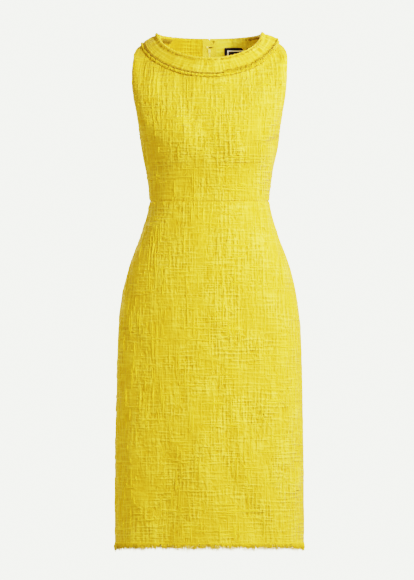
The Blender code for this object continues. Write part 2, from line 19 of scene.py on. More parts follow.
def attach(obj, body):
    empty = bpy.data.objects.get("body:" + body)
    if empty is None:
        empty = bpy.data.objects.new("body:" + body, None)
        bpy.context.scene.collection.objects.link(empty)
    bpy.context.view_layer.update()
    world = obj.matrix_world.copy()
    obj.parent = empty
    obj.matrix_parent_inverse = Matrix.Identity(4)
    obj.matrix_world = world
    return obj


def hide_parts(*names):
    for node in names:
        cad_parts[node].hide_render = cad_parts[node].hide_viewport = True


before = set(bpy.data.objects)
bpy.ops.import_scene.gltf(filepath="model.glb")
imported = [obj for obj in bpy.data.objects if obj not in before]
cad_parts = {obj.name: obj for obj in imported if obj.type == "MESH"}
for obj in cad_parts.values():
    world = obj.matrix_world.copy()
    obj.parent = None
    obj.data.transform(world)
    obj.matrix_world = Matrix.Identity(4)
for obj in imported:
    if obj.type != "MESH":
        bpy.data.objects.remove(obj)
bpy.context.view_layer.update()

log = logging.getLogger("sheath_dress")
Array = np.ndarray
Material, Mesh, Object = bpy.types.Material, bpy.types.Mesh, bpy.types.Object
Node, NodeSocket, NodeTree = bpy.types.Node, bpy.types.NodeSocket, bpy.types.NodeTree

MM = 0.001
SEAM = 0.00004            # space between two panels at a seam
CLOTH = 0.0017            # thickness of the tweed
SLOT_HALF = 0.0027        # half the space between the back edges beside the zip's slider
SLOT_TOP_HALF = 0.0010    # and at the neck edge
SLOT_TOP_Z = (-0.005, 0.009)
SLOT_FULL_Z = -0.018
SLOT_END_Z = -0.048

# Sections of the bodice from the waist seam to the neck edge. Each row holds side x and z, then
# for the front and for the back the side y, centre y and z, the exponent of the rounded outline
# and how it falls towards the centre.
BODICE = np.array((
    (120.5, -318.0, 0.0, 92.5, -318.0, 2.15, 1.5, 0.0, 90.5, -318.0, 2.15, 1.5),  # waist seam
    (122.5, -298.0, 0.0, 95.0, -297.0, 2.15, 1.5, 0.0, 92.5, -297.0, 2.15, 1.5),
    (125.5, -276.0, 0.0, 100.5, -275.0, 2.15, 1.5, 0.0, 95.0, -275.0, 2.15, 1.5),
    (129.5, -248.0, 0.0, 108.0, -253.0, 2.2, 1.5, 0.0, 98.0, -253.0, 2.2, 1.5),
    (134.5, -219.0, 0.0, 114.5, -232.0, 2.25, 1.5, 0.0, 100.5, -232.0, 2.25, 1.5),
    (139.0, -190.0, 0.0, 119.0, -212.0, 2.25, 1.5, 0.0, 102.5, -211.0, 2.25, 1.5),  # underarm
    (139.8, -184.0, 23.0, 121.0, -199.0, 2.25, 1.5, 20.0, 103.5, -196.0, 2.3, 1.5),
    (142.0, -169.0, 39.0, 121.0, -186.0, 2.25, 1.5, 33.0, 104.0, -180.0, 2.3, 1.5),
    (146.5, -146.0, 49.0, 119.0, -172.0, 2.25, 1.5, 41.0, 104.0, -162.0, 2.3, 1.5),
    (151.5, -118.0, 54.0, 115.5, -157.0, 2.2, 1.5, 45.0, 103.0, -142.0, 2.3, 1.5),
    (155.5, -88.0, 54.0, 111.0, -141.0, 2.2, 1.5, 46.0, 100.5, -120.0, 2.25, 1.5),
    (157.0, -59.0, 48.0, 105.5, -125.0, 2.15, 1.4, 42.0, 97.0, -97.0, 2.2, 1.4),
    (154.5, -33.0, 36.0, 100.0, -108.0, 2.1, 1.3, 33.0, 92.0, -75.0, 2.15, 1.4),
    (151.0, -16.0, 20.0, 94.8, -92.0, 2.05, 1.25, 18.5, 86.5, -54.0, 2.1, 1.3),
    (145.0, -7.5, 0.0, 89.5, -76.5, 2.0, 1.2, 0.0, 80.5, -35.5, 2.05, 1.25),  # shoulder point
    (131.5, 3.0, 0.0, 84.0, -61.0, 2.0, 1.15, 0.0, 74.0, -17.5, 2.0, 1.2),  # outer edge of the band
    (118.0, 11.5, 0.0, 78.0, -46.0, 2.0, 1.1, 0.0, 67.5, -3.5, 2.0, 1.0),
    (102.0, 18.0, 0.0, 72.0, -30.0, 2.0, 1.05, 0.0, 61.0, 10.5, 2.0, 0.8),  # neck edge
))
FRONT_BODICE, BACK_BODICE = BODICE[:, :7], BODICE[:, (0, 1, 7, 8, 9, 10, 11)]
NECK = len(FRONT_BODICE) - 1
BAND_EDGE = NECK - 2

# Level sections of the skirt from waist to hem: side x, front y, back y, height, exponent.
SKIRT = np.array((
    (120.5, 92.5, 90.5, -318.0, 2.15),      # waist seam
    (127.5, 96.0, 99.0, -350.0, 2.15),
    (141.5, 101.5, 109.0, -394.0, 2.15),
    (157.5, 106.0, 119.0, -436.0, 2.20),
    (169.5, 108.5, 126.0, -477.0, 2.20),
    (178.5, 110.0, 130.0, -525.0, 2.20),
    (184.5, 111.5, 131.0, -580.0, 2.20),    # fullest at the hip
    (187.0, 113.0, 129.0, -660.0, 2.15),
    (188.5, 115.0, 126.0, -740.0, 2.15),
    (190.0, 117.0, 123.5, -825.0, 2.10),
    (190.5, 118.0, 122.0, -915.0, 2.10),
    (191.0, 119.0, 122.0, -1006.0, 2.10),   # hem
))
HEM = len(SKIRT) - 1


class Facing(Enum):
    """Which way a panel faces, with the sign of its Y."""

    FRONT = -1
    BACK = 1


class Slot(Enum):
    """The record's material slots."""

    TWEED = "tweed"
    BAND = "band_tweed"
    YARN = "fringe_yarn"
    TAPE = "zip_tape"
    ZIP = "zip_metal"
    LABEL = "label_cloth"


class Fold(NamedTuple):
    """A soft trough, or a ridge where out is positive, in millimetres."""

    top_x: float
    top_z: float
    end_x: float
    end_z: float
    half: float
    out: float


RIGHT_SHOULDER = Fold(150.0, 24.0, 153.0, -40.0, 24.0, 5.0)     # stands a little fuller

FOLDS = {
    Facing.FRONT: (
        Fold(-70.0, -158.0, -70.0, -232.0, 36.0, 9.5),      # fullness that the darts give
        Fold(70.0, -158.0, 70.0, -232.0, 36.0, 9.5),
        Fold(-84.0, -840.0, -90.0, -1060.0, 15.0, -6.5),
        Fold(-152.0, -770.0, -156.0, -975.0, 18.0, 4.0),
        Fold(-14.0, -760.0, -12.0, -960.0, 20.0, 4.0),
        Fold(18.0, -690.0, 47.0, -880.0, 13.0, -4.0),
        Fold(68.0, -670.0, 104.0, -870.0, 14.0, -5.0),
        Fold(84.0, -790.0, 116.0, -940.0, 18.0, 4.0),
        Fold(62.0, -900.0, 132.0, -1050.0, 17.0, -5.0),
        Fold(98.0, -530.0, 92.0, -690.0, 34.0, -3.5),
        Fold(-140.0, -500.0, -136.0, -690.0, 26.0, -3.0),
        RIGHT_SHOULDER,
    ),
    Facing.BACK: (
        Fold(72.0, -850.0, 80.0, -1060.0, 16.0, -6.0),
        Fold(-48.0, -700.0, -66.0, -890.0, 15.0, -4.5),
        Fold(140.0, -740.0, 150.0, -960.0, 18.0, 4.0),
        Fold(-118.0, -860.0, -126.0, -1060.0, 17.0, -5.0),
        Fold(34.0, -780.0, 30.0, -960.0, 18.0, 3.5),
        Fold(0.0, -340.0, 0.0, -420.0, 60.0, -4.0),         # hollow of the back over the hip
        Fold(-92.0, -930.0, -80.0, -1050.0, 15.0, 3.5),
        RIGHT_SHOULDER,
    ),
}


class Dart(NamedTuple):
    """A sewn dart, from its wide end at a seam to its point, in millimetres."""

    seam_x: float
    seam_z: float
    point_x: float
    point_z: float


DARTS = {
    "bodice_front": (Dart(-128.0, -252.0, -90.0, -229.0), Dart(128.0, -252.0, 90.0, -229.0)),
    "bodice_back_left": (Dart(-58.0, -318.0, -64.0, -215.0),),
    "bodice_back_right": (Dart(58.0, -318.0, 64.0, -215.0),),
    "skirt_back_left": (Dart(-58.0, -318.0, -66.0, -425.0),),
    "skirt_back_right": (Dart(58.0, -318.0, 66.0, -425.0),),
}


def smooth_step(low: float, high: float, value: Array) -> Array:
    """Returns 0 below low, 1 above high, and an S curve between."""
    part = np.clip((np.asarray(value, float) - low) / (high - low), 0.0, 1.0)
    return part * part * (3.0 - 2.0 * part)


def hill(value: Array, centre: float, width: float) -> Array:
    """Returns a smooth hill, 1 at its centre."""
    return np.exp(-((value - centre) / width) ** 2)


def unit(vectors: Array) -> Array:
    """Returns vectors of length 1 along the last axis."""
    return vectors / np.maximum(np.linalg.norm(vectors, axis=-1, keepdims=True), 1e-12)


def read_table(table: Array, positions: Array) -> Array:
    """Reads rows between the rows of a table, on a smooth curve through each column.

    Args:
        table: one row for each section.
        positions: fractional row numbers.

    Returns:
        One row for each position.
    """
    last = len(table) - 1
    index = np.minimum(np.asarray(positions, float).astype(int), last - 1)
    part = (positions - index)[:, None]
    before, start = table[np.maximum(index - 1, 0)], table[index]
    end, after = table[index + 1], table[np.minimum(index + 2, last)]
    square, cube = part * part, part ** 3
    return ((2 * cube - 3 * square + 1) * start + (cube - 2 * square + part) * (end - before) / 2
            + (3 * square - 2 * cube) * end + (cube - square) * (after - start) / 2)


def arc_lengths(points: Array, axis: int) -> Array:
    """Returns the length along a grid of points, from its first line, in metres."""
    steps = np.linalg.norm(np.diff(points, axis=axis), axis=-1)
    return np.concatenate((np.zeros_like(np.take(steps, [0], axis)), np.cumsum(steps, axis)), axis)


def soft_wave(places: Array, wave: float, seed: int) -> Array:
    """Makes a smooth uneven wave along a line.

    Args:
        places: distances along the line.
        wave: the usual length of a wave.
        seed: varies it.

    Returns:
        Values mostly between -1 and 1.
    """
    chance = np.random.default_rng(seed)
    total = np.zeros_like(places)
    for _ in range(9):
        length, start = wave * chance.uniform(0.6, 1.8), chance.uniform(0.0, 2.0 * math.pi)
        total += np.cos(2.0 * math.pi * places / length + start) / 3.0
    return total


def stations(length: float, step: float, fine_start: bool, fine_end: bool) -> Array:
    """Spreads grid lines over a length, closer together where an edge rolls in.

    Args:
        length: the length to cover, in metres.
        step: the widest spacing.
        fine_start: whether the start has the close lines.
        fine_end: whether the end has them.

    Returns:
        Rising distances from 0 to the length.
    """
    near = np.array((0.0, 0.8, 1.7, 2.8, 4.2, 6.0)) * MM
    start = near if fine_start else near[:1]
    end = length - (near[::-1] if fine_end else near[:1])
    count = max(int(math.ceil((end[0] - start[-1]) / step)), 1)
    middle = np.linspace(start[-1], end[0], count + 1)
    return np.concatenate((start[:-1], middle, end[1:]))


@dataclass(frozen=True)
class Shape:
    """The form that bodice or skirt panels on one side of the dress are cut to."""

    facing: Facing
    skirt: bool

    @property
    def last(self) -> int:
        """Number of the last section."""
        return HEM if self.skirt else NECK

    def points(self, across: Array, levels: Array) -> Array:
        """Finds points of the outer face, before its folds.

        Args:
            across: places along each section, from -1 to 1 with 0 at the centre.
            levels: fractional numbers of sections.

        Returns:
            Points in rows (levels) and columns (across), in metres.
        """
        if self.skirt:
            side_x, front_y, back_y, height, square = read_table(SKIRT, levels).T
            centre_y = (front_y if self.facing is Facing.FRONT else back_y) * MM
            side_z = centre_z = height * MM - SEAM / 2.0
            side_y, fall = np.zeros_like(side_x), np.ones_like(side_x)
        else:
            table = FRONT_BODICE if self.facing is Facing.FRONT else BACK_BODICE
            side_x, side_z, side_y, centre_y, centre_z, square, fall = read_table(table, levels).T
            side_y, centre_y = np.maximum(side_y, 0.0) * MM, centre_y * MM
            side_z, centre_z = side_z * MM + SEAM / 2.0, centre_z * MM + SEAM / 2.0
        angle = np.abs(across)[None, :] * np.pi / 2.0
        power = 2.0 / square[:, None]
        sine = np.sin(angle) ** power
        cosine = np.maximum(np.cos(angle), 0.0)
        forward = side_y[:, None] + (centre_y - side_y)[:, None] * cosine ** power
        height = side_z[:, None] + (centre_z - side_z)[:, None] * cosine ** fall[:, None]
        inner = slot_half(centre_z)[:, None] if self.facing is Facing.BACK else 0.0
        x = (inner + (side_x[:, None] * MM - inner) * sine) * np.where(across < 0.0, -1.0, 1.0)
        return np.stack((x, self.facing.value * (forward + SEAM / 2.0), height), axis=-1)

    def outward(self, across: Array, levels: Array, points: Array) -> Array:
        """Finds the direction out of the cloth, turned into the plane of a seam at its edges.

        Args:
            across: places along each section.
            levels: fractional numbers of sections.
            points: the face's points there.

        Returns:
            Directions of length 1, in the same rows and columns.
        """
        step = 0.01
        left, right = np.maximum(across - step, -1.0), np.minimum(across + step, 1.0)
        if self.facing is Facing.BACK:
            left = np.where(across >= 0.0, np.maximum(left, 0.0), left)
            right = np.where(across < 0.0, np.minimum(right, -1e-6), right)
        rows = (self.points(across, np.minimum(levels + step, self.last))
                - self.points(across, np.maximum(levels - step, 0.0)))
        normal = np.cross(rows, self.points(right, levels) - self.points(left, levels))
        at_side = (np.abs(across) > 0.999)[None, :]
        wrong = normal[..., 1] * self.facing.value < 0.0
        wrong |= at_side & (normal[..., 0] * across[None, :] < 0.0)
        normal[wrong] *= -1.0
        normal[..., 1][at_side & (np.abs(points[..., 1]) < SEAM)] = 0.0
        normal[..., 0][:, np.abs(across) < 1e-3] = 0.0
        flat = (0.0, float(self.last)) if self.skirt else (0.0,)
        normal[..., 2][np.isin(np.round(levels, 6), flat)] = 0.0
        return unit(normal)

    def at_places(self, x: Array, z: Array) -> tuple[Array, Array]:
        """Finds the outer face where it is seen from behind or in front, folds included.

        Args:
            x: sideways places in metres, all on one side of the centre.
            z: heights in metres.

        Returns:
            Points of the outer face and the directions out of it.
        """
        side = np.where(x < 0.0, -1.0, 1.0)
        across, level = np.full_like(x, 0.2) * side, np.full_like(x, self.last * 0.8)
        step = 0.01
        for _ in range(25):
            here = self.pairs(across, level)
            du = (self.pairs(across + step * side, level) - here) / (step * side[:, None])
            dv = (here - self.pairs(across, level - step)) / step
            miss = np.stack((x, z), axis=-1) - here[:, (0, 2)]
            area = du[:, 0] * dv[:, 2] - du[:, 2] * dv[:, 0]
            over = (miss[:, 0] * dv[:, 2] - miss[:, 1] * dv[:, 0]) / area
            up = (miss[:, 1] * du[:, 0] - miss[:, 0] * du[:, 2]) / area
            across = side * np.clip(np.abs(across + np.clip(over, -0.1, 0.1)), 1e-3, 0.97)
            level = np.clip(level + np.clip(up, -1.0, 1.0), 0.02, self.last)
        turn = unit(np.cross(du, dv))
        turn *= np.where(turn[:, 1] * self.facing.value < 0.0, -1.0, 1.0)[:, None]
        return here + turn * self.relief(here[:, 0], here[:, 2])[:, None], turn

    def pairs(self, across: Array, levels: Array) -> Array:
        """Finds one point of the face, before its folds, for each pair of places."""
        index = np.arange(len(across))
        return self.points(across, levels)[index, index]

    def relief(self, x: Array, z: Array) -> Array:
        """Finds how far the folds push the cloth out.

        Args:
            x: sideways places in metres.
            z: heights in metres.

        Returns:
            Distances in metres, less than 0 in a trough.
        """
        total = np.zeros_like(x)
        fade = 0.35
        for fold in FOLDS[self.facing]:
            along = (fold.top_z - z / MM) / (fold.top_z - fold.end_z)
            inside = smooth_step(-fade, fade, along) * smooth_step(-fade, fade, 1.0 - along)
            drift = np.clip(along, -fade, 1.0 + fade) * (fold.end_x - fold.top_x)
            offset = (x / MM - fold.top_x - drift) / fold.half
            total += fold.out * MM * inside * np.exp(-offset * offset / 2.0)
        return total


def slot_half(height: Array) -> Array:
    """Returns half the space between the two back edges at a height."""
    opening = smooth_step(SLOT_END_Z, SLOT_FULL_Z, height)
    closing = (SLOT_HALF - SLOT_TOP_HALF) * smooth_step(*SLOT_TOP_Z, height)
    return SEAM / 2.0 + (SLOT_HALF - SEAM / 2.0) * opening - closing


# ---------- node trees


class Value:
    """A socket of a node tree. Arithmetic on it adds Math nodes to the tree."""

    def __init__(self, pen: "Pen", socket: NodeSocket) -> None:
        """Keeps the socket and the pen it belongs to."""
        self.pen = pen
        self.socket = socket

    def __add__(self, other: object) -> "Value":
        """Adds."""
        return self.pen.math("ADD", self, other)

    def __sub__(self, other: object) -> "Value":
        """Subtracts."""
        return self.pen.math("SUBTRACT", self, other)

    def __rsub__(self, other: object) -> "Value":
        """Subtracts it from a number."""
        return self.pen.math("SUBTRACT", other, self)

    def __mul__(self, other: object) -> "Value":
        """Multiplies."""
        return self.pen.math("MULTIPLY", self, other)

    def __truediv__(self, other: object) -> "Value":
        """Divides."""
        return self.pen.math("DIVIDE", self, other)

    def __pow__(self, other: object) -> "Value":
        """Raises to a power."""
        return self.pen.math("POWER", self, other)

    def clamp(self) -> "Value":
        """Keeps it between 0 and 1."""
        return self.pen.math("MINIMUM", self.pen.math("MAXIMUM", self, 0.0), 1.0)

    def spread(self, low: float, high: float, to_low: float = 0.0, to_high: float = 1.0) -> "Value":
        """Maps a range to another, and stays inside it."""
        node = self.pen.add("ShaderNodeMapRange", {
            "Value": self, "From Min": low, "From Max": high, "To Min": to_low, "To Max": to_high})
        return Value(self.pen, node.outputs["Result"])


class Pen:
    """Draws a node tree, for a material, a shader group or Geometry Nodes."""

    def __init__(self, tree: NodeTree) -> None:
        """Starts on a tree."""
        self.tree = tree
        self.entry: Node | None = None

    def feed(self, socket: NodeSocket, value: object) -> None:
        """Links a socket to a value, or sets it.

        Args:
            socket: the input to feed.
            value: a value of the tree, a socket, or a constant.
        """
        if isinstance(value, Value):
            self.tree.links.new(value.socket, socket)
        elif isinstance(value, NodeSocket):
            self.tree.links.new(value, socket)
        else:
            socket.default_value = value

    def add(self, kind: str, inputs: dict | None = None, **settings: object) -> Node:
        """Adds a node.

        Args:
            kind: the node's type name.
            inputs: values or sockets by the input's name or number.
            settings: the node's own properties.

        Returns:
            The new node.
        """
        node = self.tree.nodes.new(kind)
        for name, value in settings.items():
            setattr(node, name, value)
        for key, value in (inputs or {}).items():
            self.feed(node.inputs[key], value)
        return node

    def out(self, kind: str, inputs: dict | None = None, output: int | str = 0,
            **settings: object) -> Value:
        """Adds a node and returns one of its outputs."""
        return Value(self, self.add(kind, inputs, **settings).outputs[output])

    def geo(self, kind: str, inputs: dict | None = None, **settings: object) -> Value:
        """Adds a Geometry Nodes node and returns its first output."""
        return self.out("GeometryNode" + kind, inputs, **settings)

    def math(self, operation: str, *values: object) -> Value:
        """Adds a Math node."""
        return self.out("ShaderNodeMath", dict(enumerate(values)), operation=operation)

    def vector(self, operation: str, *values: object) -> Value:
        """Adds a Vector Math node."""
        return self.out("ShaderNodeVectorMath", dict(enumerate(values)), operation=operation)

    def scale(self, vector: object, factor: object) -> Value:
        """Multiplies a vector by a number."""
        return self.out("ShaderNodeVectorMath", {0: vector, 3: factor}, operation="SCALE")

    def join(self, x: object = 0.0, y: object = 0.0, z: object = 0.0) -> Value:
        """Makes a vector of three numbers."""
        return self.out("ShaderNodeCombineXYZ", {0: x, 1: y, 2: z})

    def split(self, vector: object) -> tuple[Value, Value, Value]:
        """Takes a vector apart."""
        node = self.add("ShaderNodeSeparateXYZ", {0: vector})
        return tuple(Value(self, socket) for socket in node.outputs)

    def noise(self, vector: object, scale: float = 1.0, detail: float = 0.0,
              rough: float = 0.5, output: str = "Fac") -> Value:
        """Adds a Noise Texture."""
        return self.out("ShaderNodeTexNoise", {"Vector": vector, "Scale": scale, "Detail": detail,
                                               "Roughness": rough}, output)

    def blend(self, factor: object, first: object, second: object) -> Value:
        """Mixes two colours.

        Args:
            factor: share of the second.
            first: a value, or red, green and blue.
            second: the same.

        Returns:
            The mixed colour.
        """
        node = self.tree.nodes.new("ShaderNodeMix")
        node.data_type = "RGBA"
        for name, value in (("Factor_Float", factor), ("A_Color", first), ("B_Color", second)):
            if isinstance(value, tuple):
                value = (*value, 1.0)
            self.feed(next(s for s in node.inputs if s.identifier == name), value)
        return Value(self, next(s for s in node.outputs if s.identifier == "Result_Color"))

    def bump(self, shader: Node, height: object, distance: float) -> None:
        """Gives a Principled shader a bump of some height in metres."""
        bump = self.add("ShaderNodeBump", {"Height": height, "Distance": distance})
        self.feed(shader.inputs["Normal"], bump.outputs["Normal"])

    def declare(self, name: str, kind: str, default: object = None, output: bool = False) -> None:
        """Adds a named socket to the tree's own interface.

        Args:
            name: name of the socket.
            kind: its type name.
            default: its value where nothing is linked, or None.
            output: whether it is an output.
        """
        socket = self.tree.interface.new_socket(
            name, in_out="OUTPUT" if output else "INPUT", socket_type=kind)
        if default is not None:
            socket.default_value = default

    def given(self, name: str) -> Value:
        """Returns one of the tree's own inputs."""
        if self.entry is None:
            self.entry = self.tree.nodes.new("NodeGroupInput")
        return Value(self, self.entry.outputs[name])

    def named(self, name: str, kind: str = "FLOAT_VECTOR") -> Value:
        """Reads a named attribute in Geometry Nodes."""
        return self.out("GeometryNodeInputNamedAttribute", {"Name": name}, data_type=kind)

    def store(self, geometry: object, name: str, value: object, kind: str = "FLOAT_VECTOR",
              domain: str = "POINT") -> Value:
        """Stores a named attribute in Geometry Nodes."""
        return self.out("GeometryNodeStoreNamedAttribute",
                        {"Geometry": geometry, "Name": name, "Value": value},
                        data_type=kind, domain=domain)

    def random(self, low: object, high: object, seed: object) -> Value:
        """Picks a number, or a vector, for each element.

        Args:
            low: the least; a vector here asks for vectors.
            high: the most.
            seed: a number or a value.

        Returns:
            The picked value.
        """
        vector = isinstance(low, tuple) or (isinstance(low, Value) and low.socket.type == "VECTOR")
        first = 0 if vector else 2
        node = self.add("FunctionNodeRandomValue", data_type="FLOAT_VECTOR" if vector else "FLOAT")
        for index, value in ((first, low), (first + 1, high), (8, seed)):
            self.feed(node.inputs[index], value)
        return Value(self, node.outputs[0 if vector else 1])


SOCKET_KINDS = {int: "NodeSocketInt", float: "NodeSocketFloat", tuple: "NodeSocketVector",
                type(None): "NodeSocketMaterial"}


def geometry_tree(name: str, inputs: dict[str, object], finish: str,
                  draw: Callable[[Pen], Value]) -> NodeTree:
    """Builds a Geometry Nodes tree with named inputs.

    Args:
        name: name of the tree.
        inputs: default value by name, and None for a material.
        finish: name of the input that holds the result's material.
        draw: draws the nodes and returns their geometry.

    Returns:
        The tree, whose result is real, smooth and has its material.
    """
    tree = bpy.data.node_groups.new(name, "GeometryNodeTree")
    pen = Pen(tree)
    pen.declare("Geometry", "NodeSocketGeometry")
    for label, default in inputs.items():
        pen.declare(label, SOCKET_KINDS[type(default)], default)
    pen.declare("Geometry", "NodeSocketGeometry", output=True)
    whole = pen.geo("RealizeInstances", {"Geometry": draw(pen)})
    smooth = pen.geo("SetShadeSmooth", {"Geometry": whole})
    done = pen.geo("SetMaterial", {"Geometry": smooth,
                                   "Material": pen.given(finish)})
    leave = tree.nodes.new("NodeGroupOutput")
    pen.feed(leave.inputs["Geometry"], done)
    return tree


# ---------- finishes


def shader_group(name: str, inputs: dict[str, object],
                 draw: Callable[[Pen], dict[str, Value]]) -> NodeTree:
    """Builds a shader node group once, with the outputs Height and Tone.

    Args:
        name: name of the group.
        inputs: default value by name.
        draw: draws the nodes and returns the two values.

    Returns:
        The group's node tree.
    """
    tree = bpy.data.node_groups.get(name)
    if tree is not None:
        return tree
    tree = bpy.data.node_groups.new(name, "ShaderNodeTree")
    pen = Pen(tree)
    for label, default in inputs.items():
        pen.declare(label, SOCKET_KINDS[type(default)], default)
    for label in ("Height", "Tone"):
        pen.declare(label, "NodeSocketFloat", output=True)
    results = draw(pen)
    leave = tree.nodes.new("NodeGroupOutput")
    for label, value in results.items():
        pen.feed(leave.inputs[label], value)
    return tree


def draw_weave(pen: Pen) -> dict[str, Value]:
    """Draws plain weave of uneven yarns.

    Args:
        pen: the shader group, with the inputs Cloth Place, Pitch and Relief.

    Returns:
        The height, and the tone from gap (0) to crest (1); the low gaps get a darker tone as painted
        shade.
    """
    u, v, _ = pen.split(pen.given("Cloth Place"))
    pitch = pen.given("Pitch")
    sway_u = pen.noise(pen.join(u * 60.0, v * 18.0, 3.0)) - 0.5
    sway_v = pen.noise(pen.join(u * 18.0, v * 60.0, 7.0)) - 0.5
    warp = pen.math("COSINE", (u / pitch + sway_u * 0.9) * math.pi)
    weft = pen.math("COSINE", (v / pitch + sway_v * 0.9) * math.pi)
    over = (warp * weft * 1.6 + 0.5).clamp()
    weave = over * (warp * warp) + (1.0 - over) * (weft * weft)
    calm = pen.noise(pen.join(u * 16.0, v * 13.0, 1.0), detail=1.0).spread(0.36, 0.60)
    tall, wide, knots, gaps = (
        pen.noise(pen.join(u * along, v * up, start), detail=0.4).spread(low, high)
        for along, up, start, low, high in (
            (205.0, 17.0, 5.0, 0.42, 0.67), (22.0, 235.0, 11.0, 0.46, 0.69),
            (210.0, 190.0, 17.0, 0.46, 0.72), (230.0, 80.0, 23.0, 0.52, 0.70)))
    raised = tall * 0.8 + wide * 0.8 + knots * 0.45
    height = weave * 0.12 + raised * (calm * 0.6 + 0.4) - gaps * (calm * 0.45 + 0.35) * 0.65
    # Painted shade: the tone follows the height, so the weave's gaps and hollows are darker.
    tone = (height * 0.75 + 0.2).clamp()
    return {"Height": height * pen.given("Relief"), "Tone": tone}


def draw_fibres(pen: Pen) -> dict[str, Value]:
    """Draws the fine twisted fibres of a yarn.

    Args:
        pen: the shader group, with the input Place.

    Returns:
        The height and the tone.
    """
    place = pen.given("Place")
    fine = pen.noise(place, 2600.0, detail=2.0)
    soft = pen.noise(place, 420.0, detail=1.0)
    height = fine * 0.6 + soft * 0.7
    return {"Height": height, "Tone": (soft * 1.3 + fine * 0.5 - 0.4).clamp()}


Colour = tuple[float, float, float]


def blank(name: str) -> tuple[Material, Pen, Node]:
    """Starts a material.

    Args:
        name: its name.

    Returns:
        The material, its pen and its Principled shader.
    """
    material = bpy.data.materials.new(name)
    material.use_nodes = True
    pen = Pen(material.node_tree)
    return material, pen, material.node_tree.nodes["Principled BSDF"]


def set_inputs(shader: Node, values: dict[str, object]) -> None:
    """Sets constants on a shader's sockets."""
    for name, value in values.items():
        shader.inputs[name].default_value = value


FUZZ = {"Specular IOR Level": 0.55, "Sheen Roughness": 0.45, "Sheen Tint": (1.0, 0.96, 0.8, 1.0)}


@dataclass(frozen=True)
class Tweed:
    """The woven cloth, with a fibre fuzz that lightens it where it turns away."""

    name: str
    # gap is the darker tone of the low places, as painted shade; crest is the tone of the raised yarn.
    gap: Colour
    crest: Colour
    pitch: float = 0.0021
    relief: float = 1.0
    bump: float = 0.0018
    roughness: float = 0.82
    sheen: float = 0.13
    calm: float = 0.7         # share of the bump that the smooth right shoulder loses

    def make(self) -> Material:
        """Builds the material.

        Returns:
            The material.
        """
        material, pen, shader = blank(self.name)
        group = shader_group("uneven_weave", {
            "Cloth Place": (0.0, 0.0, 0.0), "Pitch": 0.0021, "Relief": 1.0}, draw_weave)
        weave = pen.add("ShaderNodeGroup", {}, node_tree=group)
        pen.feed(weave.inputs["Cloth Place"], pen.out("ShaderNodeUVMap", uv_map="UVMap"))
        set_inputs(weave, {"Pitch": self.pitch, "Relief": self.relief})
        pen.feed(shader.inputs["Base Color"],
                 pen.blend(weave.outputs["Tone"], self.gap, self.crest))
        x, _, z = pen.split(pen.out("ShaderNodeTexCoord", output="Object"))
        smoothed = x.spread(0.09, 0.14) * z.spread(-0.09, -0.04)
        height = Value(pen, weave.outputs["Height"]) * (smoothed * -self.calm + 1.0)
        pen.bump(shader, height, self.bump)
        set_inputs(shader, {"Roughness": self.roughness, "Sheen Weight": self.sheen, **FUZZ})
        return material


@dataclass(frozen=True)
class Yarn:
    """Loose or raised yarn, with fine fibres."""

    name: str
    dark: Colour
    light: Colour
    bump: float = 0.0006
    roughness: float = 0.85
    sheen: float = 0.13

    def make(self) -> Material:
        """Builds the material.

        Returns:
            The material.
        """
        material, pen, shader = blank(self.name)
        group = shader_group("yarn_fibres", {"Place": (0.0, 0.0, 0.0)}, draw_fibres)
        fibres = pen.add("ShaderNodeGroup", {}, node_tree=group)
        pen.feed(fibres.inputs["Place"], pen.out("ShaderNodeTexCoord", output="Object"))
        pen.feed(shader.inputs["Base Color"],
                 pen.blend(fibres.outputs["Tone"], self.dark, self.light))
        pen.bump(shader, fibres.outputs["Height"], self.bump)
        set_inputs(shader, {"Roughness": self.roughness, "Sheen Weight": self.sheen, **FUZZ})
        return material


@dataclass(frozen=True)
class Enamel:
    """Painted or lacquered metal with worn edges."""

    name: str
    paint: Colour
    worn: Colour
    roughness: float = 0.3

    def make(self) -> Material:
        """Builds the material.

        Returns:
            The material.
        """
        material, pen, shader = blank(self.name)
        place = pen.out("ShaderNodeTexCoord", output="Object")
        scuff = pen.noise(place, 1500.0, detail=3.0).spread(0.58, 0.72)
        cloud = pen.noise(place, 420.0, detail=2.0)
        pen.feed(shader.inputs["Base Color"], pen.blend(scuff, self.paint, self.worn))
        pen.feed(shader.inputs["Roughness"], cloud * 0.3 + self.roughness - 0.1)
        pen.feed(shader.inputs["Metallic"], scuff * 0.8)
        pen.bump(shader, cloud, 0.00005)
        set_inputs(shader, {"Coat Weight": 0.4, "Coat Roughness": 0.15})
        return material


@dataclass(frozen=True)
class Herringbone:
    """The fine twill of the zip tape."""

    name: str
    dark: Colour
    light: Colour
    column: float = 1.5       # width of a column of ribs, in millimetres
    rib: float = 0.8          # from rib to rib, in millimetres

    def make(self) -> Material:
        """Builds the material.

        Returns:
            The material.
        """
        material, pen, shader = blank(self.name)
        u, v, _ = pen.split(pen.out("ShaderNodeUVMap", uv_map="UVMap"))
        zigzag = pen.math("PINGPONG", u * 1000.0, self.column)
        ribs = pen.math("SINE", (v * 1000.0 + zigzag) * (2.0 * math.pi / self.rib))
        tone = ribs * 0.5 + 0.5
        pen.feed(shader.inputs["Base Color"], pen.blend(tone, self.dark, self.light))
        pen.bump(shader, tone, 0.0001)
        set_inputs(shader, {"Roughness": 0.7, "Sheen Weight": 0.2})
        return material


